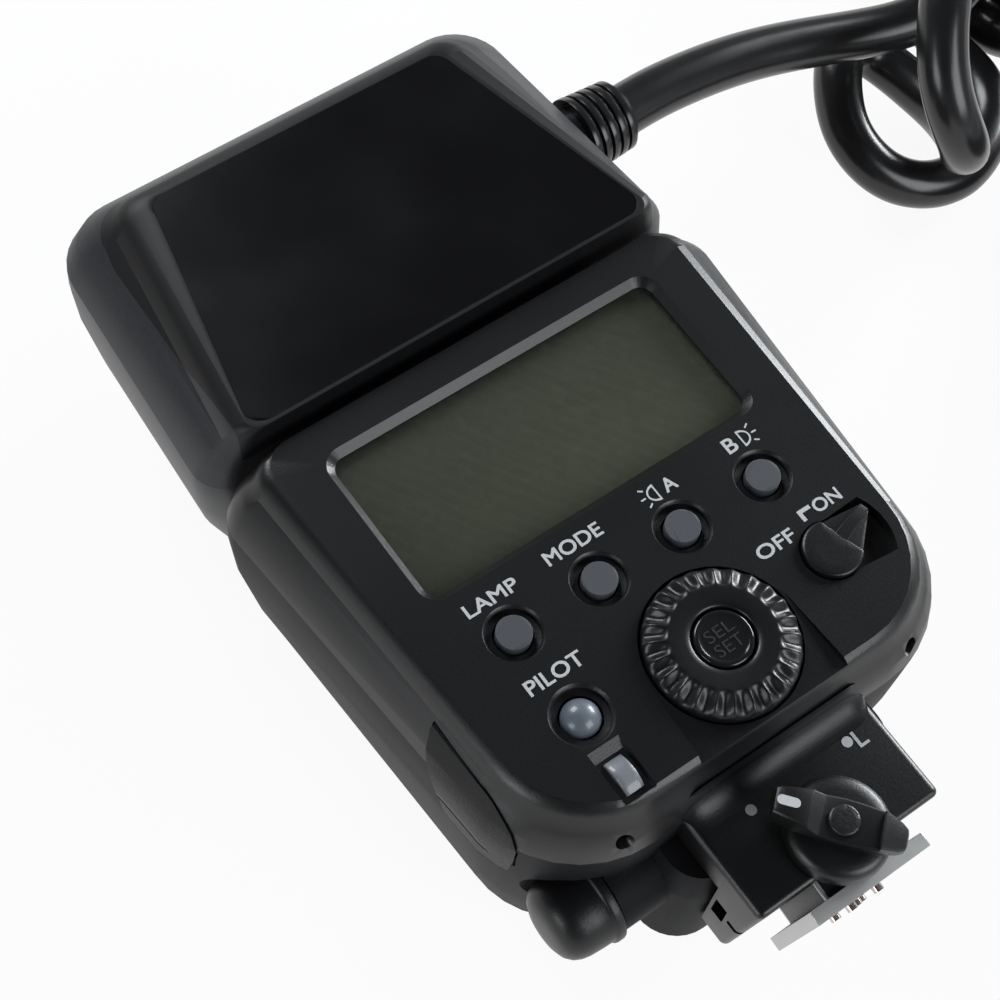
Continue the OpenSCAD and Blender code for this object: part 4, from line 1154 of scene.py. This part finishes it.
@dataclass
class PowerKnob:
    """The switch knob: a disc cut straight across, and a pointer with a ridge between two sunk facets."""

    centre: Triple = (21.2, -34.9, 0.0)
    turn: float = 18.0
    radius: float = 4.1
    chord: float = 2.2
    tip: Pair = (8.1, 0.75)
    rim: Pairs = ((0.0, -1.5), (0.0, 0.4), (0.07, 0.62), (0.22, 0.75), (0.45, 0.8), (1.9, 0.8))
    facet: Pairs = ((0.0, -1.5), (0.0, -0.35), (0.06, -0.22), (0.2, -0.15), (0.7, -0.1), (3.0, 0.1))
    ridge: Triples = (
        (1.6, 1.05, 0.76), (2.4, 1.0, 0.8), (5.0, 0.85, 0.8), (7.0, 0.72, 0.76), (7.8, 0.66, 0.6),
        (8.05, 0.6, 0.2))
    shoulders: Pairs = ((1.0, 9.0), (1.0, 0.14), (0.82, 0.0), (-0.82, 0.0), (-1.0, 0.14), (-1.0, 9.0))
    foot: float = -1.4
    core: float = 0.05
    steps: int = 144

    def build(self) -> None:
        """Makes the knob from three skins. The disc's edge is the nearer of its circle and the chord. The
        facets' edge is the nearer of the tip's end and the tangents from the tip's corners to the circle.
        The ridge is a section with bevelled shoulders carried along the pointer."""
        angle = np.linspace(-math.pi, math.pi, self.steps, endpoint=False)
        ahead = np.maximum(np.cos(angle), 1e-6)
        far, half = self.tip
        lean = math.acos(self.radius / math.hypot(far, half)) + math.atan2(half, far)
        off = np.minimum(np.abs(np.abs(angle) - lean), 1.5)
        side = np.where(np.abs(angle) < lean, self.radius / np.cos(off), self.radius)
        disc = self._star("power_disc", np.minimum(self.radius, self.chord / ahead), angle, self.rim)
        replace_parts(disc, "power_lever")
        self._star("power_facets", np.minimum(side, far / ahead), angle, self.facet)
        self._put("power_ridge", *bar(self.ridge, self.shoulders, self.foot))

    def _star(self, name: str, edge: np.ndarray, angle: np.ndarray, profile: Pairs) -> bpy.types.Object:
        """Makes a solid whose rings shrink in from one edge.

        Args:
            name: the piece's name.
            edge: how far the edge is from the middle at each angle.
            angle: the angles, from the pointer.
            profile: how far each ring is in from the edge, and its height.

        Returns:
            The piece.
        """
        inward, height = columns(profile)
        reach = np.maximum(edge - inward, self.core)
        return self._put(name, reach * np.cos(angle), reach * np.sin(angle), height)

    def _put(self, name: str, along: Reach, across: Reach, up: Reach) -> bpy.types.Object:
        """Turns a grid of the pointer into a piece of the knob.

        Args:
            name: the piece's name.
            along: places along the pointer.
            across: places across it.
            up: heights.

        Returns:
            The piece.
        """
        rows = swing(self.centre, self.turn, along, across, up)
        made = skin(name, stand(rows), True, Ends.POLES, 30)
        return wear(made, Finish.PANEL, "power", "satin_black")


@dataclass
class LockLever:
    """The shoe's lock lever: a turned hub, and a bar with a raised thumb end, a ramp and a pointed tail."""

    hub: Triple = (0.0, 6.9, 0.0)
    turn: float = 130.0
    base: Pairs = (
        (7.0, 9.75), (7.0, 10.9), (6.9, 11.5), (6.55, 12.1), (5.9, 12.5), (4.6, 12.7), (2.6, 12.75))
    stations: Triples = (
        (-8.4, 1.0, 13.2), (-8.2, 1.5, 13.5), (-7.4, 2.0, 13.8), (-5.0, 2.7, 14.75), (-4.85, 2.75, 14.2),
        (-2.4, 3.0, 14.2), (0.0, 3.1, 14.2), (2.7, 2.9, 14.25), (3.0, 2.85, 14.35), (4.4, 2.65, 15.35),
        (4.7, 2.6, 15.45), (6.5, 2.3, 15.6), (8.4, 1.95, 15.55), (9.0, 1.75, 15.3), (9.25, 1.45, 14.7))
    cap: Pairs = ((2.05, 13.4), (2.05, 14.4), (1.98, 14.54), (1.8, 14.62), (1.2, 14.68), (0.5, 14.7))
    shoulders: Pairs = (
        (1.0, 9.0), (1.0, 0.8), (0.97, 0.3), (0.88, 0.08), (0.6, 0.0), (0.0, 0.0), (-0.6, 0.0), (-0.88, 0.08),
        (-0.97, 0.3), (-1.0, 0.8), (-1.0, 9.0))
    foot: float = 12.3
    mark: Pair = (6.5, 8.2)
    mark_width: float = 1.3
    mark_height: float = 15.62

    def build(self) -> None:
        """Turns the hub and the cap, and carries a section with rounded shoulders along the bar. The hub
        and all heights are told from the frame's origin."""
        hub = np.array(self.hub) - DISPLAY
        base = wear(revolve("lever_hub", self.base, hub), Finish.PANEL, "lock", "satin_black")
        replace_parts(base, "lock_lever")
        rows = swing(hub, self.turn, *bar(self.stations, self.shoulders, self.foot))
        wear(skin("lever_bar", stand(rows), True, Ends.POLES, 24), Finish.PANEL, "lock", "satin_black")
        cap = wear(revolve("lever_cap", self.cap, hub), Finish.GRAIN, "lock", "satin_black")
        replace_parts(cap, "lock_lever_cap")
        spine = swing(hub, self.turn, np.array(self.mark), 0.0, self.mark_height)
        capsule("lever_mark", spine[:, :2], self.mark_width, spine[0, 2], Finish.INK, "lock")


@dataclass
class ReadyLens:
    """The ready lamp's curved lens, sunk in its frame."""

    centre: Triple = (-20.1, -44.1, 0.0)
    size: Pair = (2.8, 4.9)
    crown: float = 0.35
    foot: float = -2.6
    steps: int = 25
    shoulders: Pairs = (
        (-1.0, 9.0), (-1.0, 0.35), (-0.98, 0.15), (-0.9, 0.04), (-0.5, 0.0), (0.0, 0.0), (0.5, 0.0),
        (0.9, 0.04), (0.98, 0.15), (1.0, 0.35), (1.0, 9.0))

    def build(self) -> None:
        """Carries an arch along the lens: its height falls with the square of the way from the middle."""
        share = np.linspace(-1, 1, self.steps)
        half = np.full_like(share, self.size[0] / 2)
        stations = np.stack([self.size[1] / 2 * share, half, self.crown - share ** 2], -1)
        rows = swing(self.centre, 90.0, *bar(stations, self.shoulders, self.foot))
        lens = wear(skin("ready_lens", stand(rows), True, Ends.POLES, 50), Finish.READY, "unit", "pilot_lens")
        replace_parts(lens, "ready_window")


@dataclass
class FootTrim:
    """The foot block with its clip hole, the cove over it, the shoe's spacer and the lock's printed marks."""

    half: float = 15.0
    corner: float = 1.1
    under: Pair = (-27.0, -14.34)
    steps: Pair = (-60.06, -50.3)
    clip: tuple[tuple[Triple, Triple], ...] = (
        ((-17.0, -62.8, -20.8), (-12.0, -60.6, -16.6)), ((-17.0, -75.0, -19.2), (-14.0, -63.4, -18.2)))
    face: float = -8.0
    tilt: float = 7.3
    cove_back: float = -50.2
    cove_reach: float = 4.6
    cove_rise: float = 0.95
    cove_end: Pair = (0.35, 2.5)
    cove_cells: tuple[int, int] = (41, 17)
    cove_sink: float = 0.02
    neck: Pair = (12.5, 16.1)
    neck_wall: float = 0.06
    neck_corner: float = 0.8
    neck_levels: Pair = (2.02, 4.58)
    print_gap: float = 0.03
    dots: tuple[tuple[str, Pair, Finish], ...] = (
        ("mark_locked", (9.1, -55.15), Finish.INK), ("mark_open", (-7.06, -55.27), Finish.GREY_INK))
    dot_width: float = 1.5
    letter: tuple[float, float, float, float] = (10.1, 11.7, -56.8, -54.4)
    bold: float = 0.05

    def build(self) -> None:
        """Builds the cove, the marks, the block and the spacer."""
        self._cove()
        printed = self.face + self.print_gap
        for name, place, ink in self.dots:
            capsule(name, np.array([[0.0, 0.0], [0.02, 0.0]]) + place, self.dot_width, printed, ink, "unit")
        lettering("L", self.letter, printed, Finish.INK, "unit", bold=self.bold)
        self._block()
        self._sleeve()

    def _cove(self) -> None:
        """Sweeps a quarter-round hollow along the foot's edge: a circle about a point out in the air, whose
        radius shrinks toward the two ends."""
        x = np.linspace(-self.half, self.half, self.cove_cells[0])
        turn = np.linspace(0.02, 0.98, self.cove_cells[1])[:, None] * QUARTER
        least, run = self.cove_end
        fade = np.clip((self.half - np.abs(x)) / run, 0.0, 1.0) ** 0.5
        reach = self.cove_reach * (least + (1 - least) * fade)
        y = self.cove_back - reach + reach * np.sin(turn)
        z = self.face - self.cove_sink + reach * (1 - np.cos(turn)) * self.cove_rise
        rows = np.stack([np.broadcast_to(x, y.shape), y, z], -1)
        wear(skin("foot_cove", stand(rows), False), Finish.SHELL, "unit", "satin_black")

    def _ring(self, low: float, inward: float = 0.0) -> np.ndarray:
        """A rounded oblong across the foot.

        Args:
            low: its lower side.
            inward: how far it is drawn in.

        Returns:
            Its points, across and up.
        """
        half = (self.half, (self.face - low) / 2)
        return oblong(half, self.corner, inward) + (0.0, (self.face + low) / 2)

    def _block(self) -> None:
        """Carries the rounded oblong from the leaning shoe end to the shell. Its first rings shrink in by a
        quarter circle, which rounds the end's edge, and past the chin it is a shallower oblong."""
        bend = np.linspace(0, QUARTER, 6)
        radius = 0.9 * self.corner
        lean = math.radians(self.tilt)
        reach = self.neck_levels[1] / math.cos(lean) - DISPLAY[1]
        rows = []
        for inward, ahead in zip(radius * (1 - np.sin(bend)), radius * (1 - np.cos(bend))):
            ring = self._ring(self.under[0], inward)
            rows.append((ring, reach - math.tan(lean) * (ring[:, 1] + DISPLAY[2]) + ahead))
        deep, shallow = (self._ring(low) for low in self.under)
        rows += [(deep, self.steps[0]), (shallow, self.steps[0]), (shallow, self.steps[1])]
        points = np.stack([np.stack([-r[:, 0], np.broadcast_to(y, len(r)), r[:, 1]], -1) for r, y in rows])
        block = skin("foot_shell", stand(points), True, Ends.POLES)
        carve(block, self.clip)
        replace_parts(wear(block, Finish.PANEL, "unit", "satin_black"), "foot_block")

    def _sleeve(self) -> None:
        """Wraps the neck over the shoe plate in its plastic spacer: an oblong tube between two levels, which
        leans with the shoe."""
        outer, inner = (oblong(np.array(self.neck) / 2 - wall, self.neck_corner, count=5)
                        for wall in (0.0, self.neck_wall))
        low, high = self.neck_levels
        order = ((outer.T, low), (outer.T, high), (inner.T, high), (inner.T, low))
        c, s = math.cos(math.radians(self.tilt)), math.sin(math.radians(self.tilt))
        rows = np.stack([np.stack([-x, h * c - y * s, h * s + y * c], -1) for (x, y), h in order])
        wear(skin("shoe_spacer", rows * MM, True, Ends.LOOP), Finish.SHELL, "unit", "satin_black")


NODES: tuple[tuple[Finish, float, str], ...] = (
    (Finish.PANEL, 0.18, "rear_shell"),
    (Finish.BELLY, 0.25, "front_shell battery_door"),
    (Finish.HOOD, 0.25, "head_front_cover head_rear_cover"),
    (Finish.LEAF, 0.3, "terminal_cover"),
    (Finish.SHELL, 0.4, "contact_block"),
    (Finish.PLATE, 0.15, "head_panel"),
    (Finish.RUBBER, 0.3, "cord_gland ring_gland"),
    (Finish.KEY, 0.25, "lamp_button mode_button ratio_a_button ratio_b_button"),
    (Finish.PILOT, 0.0, "pilot_button"),
    (Finish.CLEAR, 0.0, "display_window"),
    (Finish.CRYSTAL, 0.0, "lcd_module"),
    (Finish.BOARD, 0.0, "main_board ring_board"),
    (Finish.HIDDEN, 0.0, "key_switches dial_encoder power_switch terminal_socket"),
    (Finish.SLEEVE, 0.0, "main_capacitor"),
    (Finish.COIL, 0.0, "transformer"),
    (Finish.STEEL, 0.1, "battery_contacts battery_door_pin shoe_screws lock_shaft lock_pin release_springs"),
    (Finish.COPPER, 0.1, "sync_contact"),
    (Finish.NICKEL, 0.35, "contact_pins"),
    (Finish.ROLLED, 0.15, "shoe_plate"),
    (Finish.DARK_STEEL, 0.0, "case_screws ring_screws"),
    (Finish.SHELL, 0.4, "ring_rear_shell ring_front_shell release_left release_right"),
    (Finish.OPAL, 0.3, "diffuser_left diffuser_right"),
    (Finish.MIRROR, 0.0, "reflector_left reflector_right"),
    (Finish.TUBE, 0.0, "flash_tubes focusing_lamps"),
)


def dress_nodes() -> None:
    """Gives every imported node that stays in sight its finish, and rounds its edges."""
    for finish, radius, names in NODES:
        for name in names.split():
            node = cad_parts[name]
            node.data.materials.clear()
            node.data.materials.append(finish.material())
            soften(node, radius)
            log.info("%s: node in %s", name, finish.name.lower())


def main() -> None:
    """Builds the picture piece by piece."""
    logging.basicConfig(level=logging.INFO, format="%(message)s")
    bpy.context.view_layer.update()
    Viewpoint().build()
    CurlyCord().build()
    Studio().build()
    dress_nodes()
    FacePanel().build()
    SocketCap().build()
    SelectDial().build()
    PowerKnob().build()
    LockLever().build()
    ReadyLens().build()
    FootTrim().build()


if __name__ == "__main__":
    main()
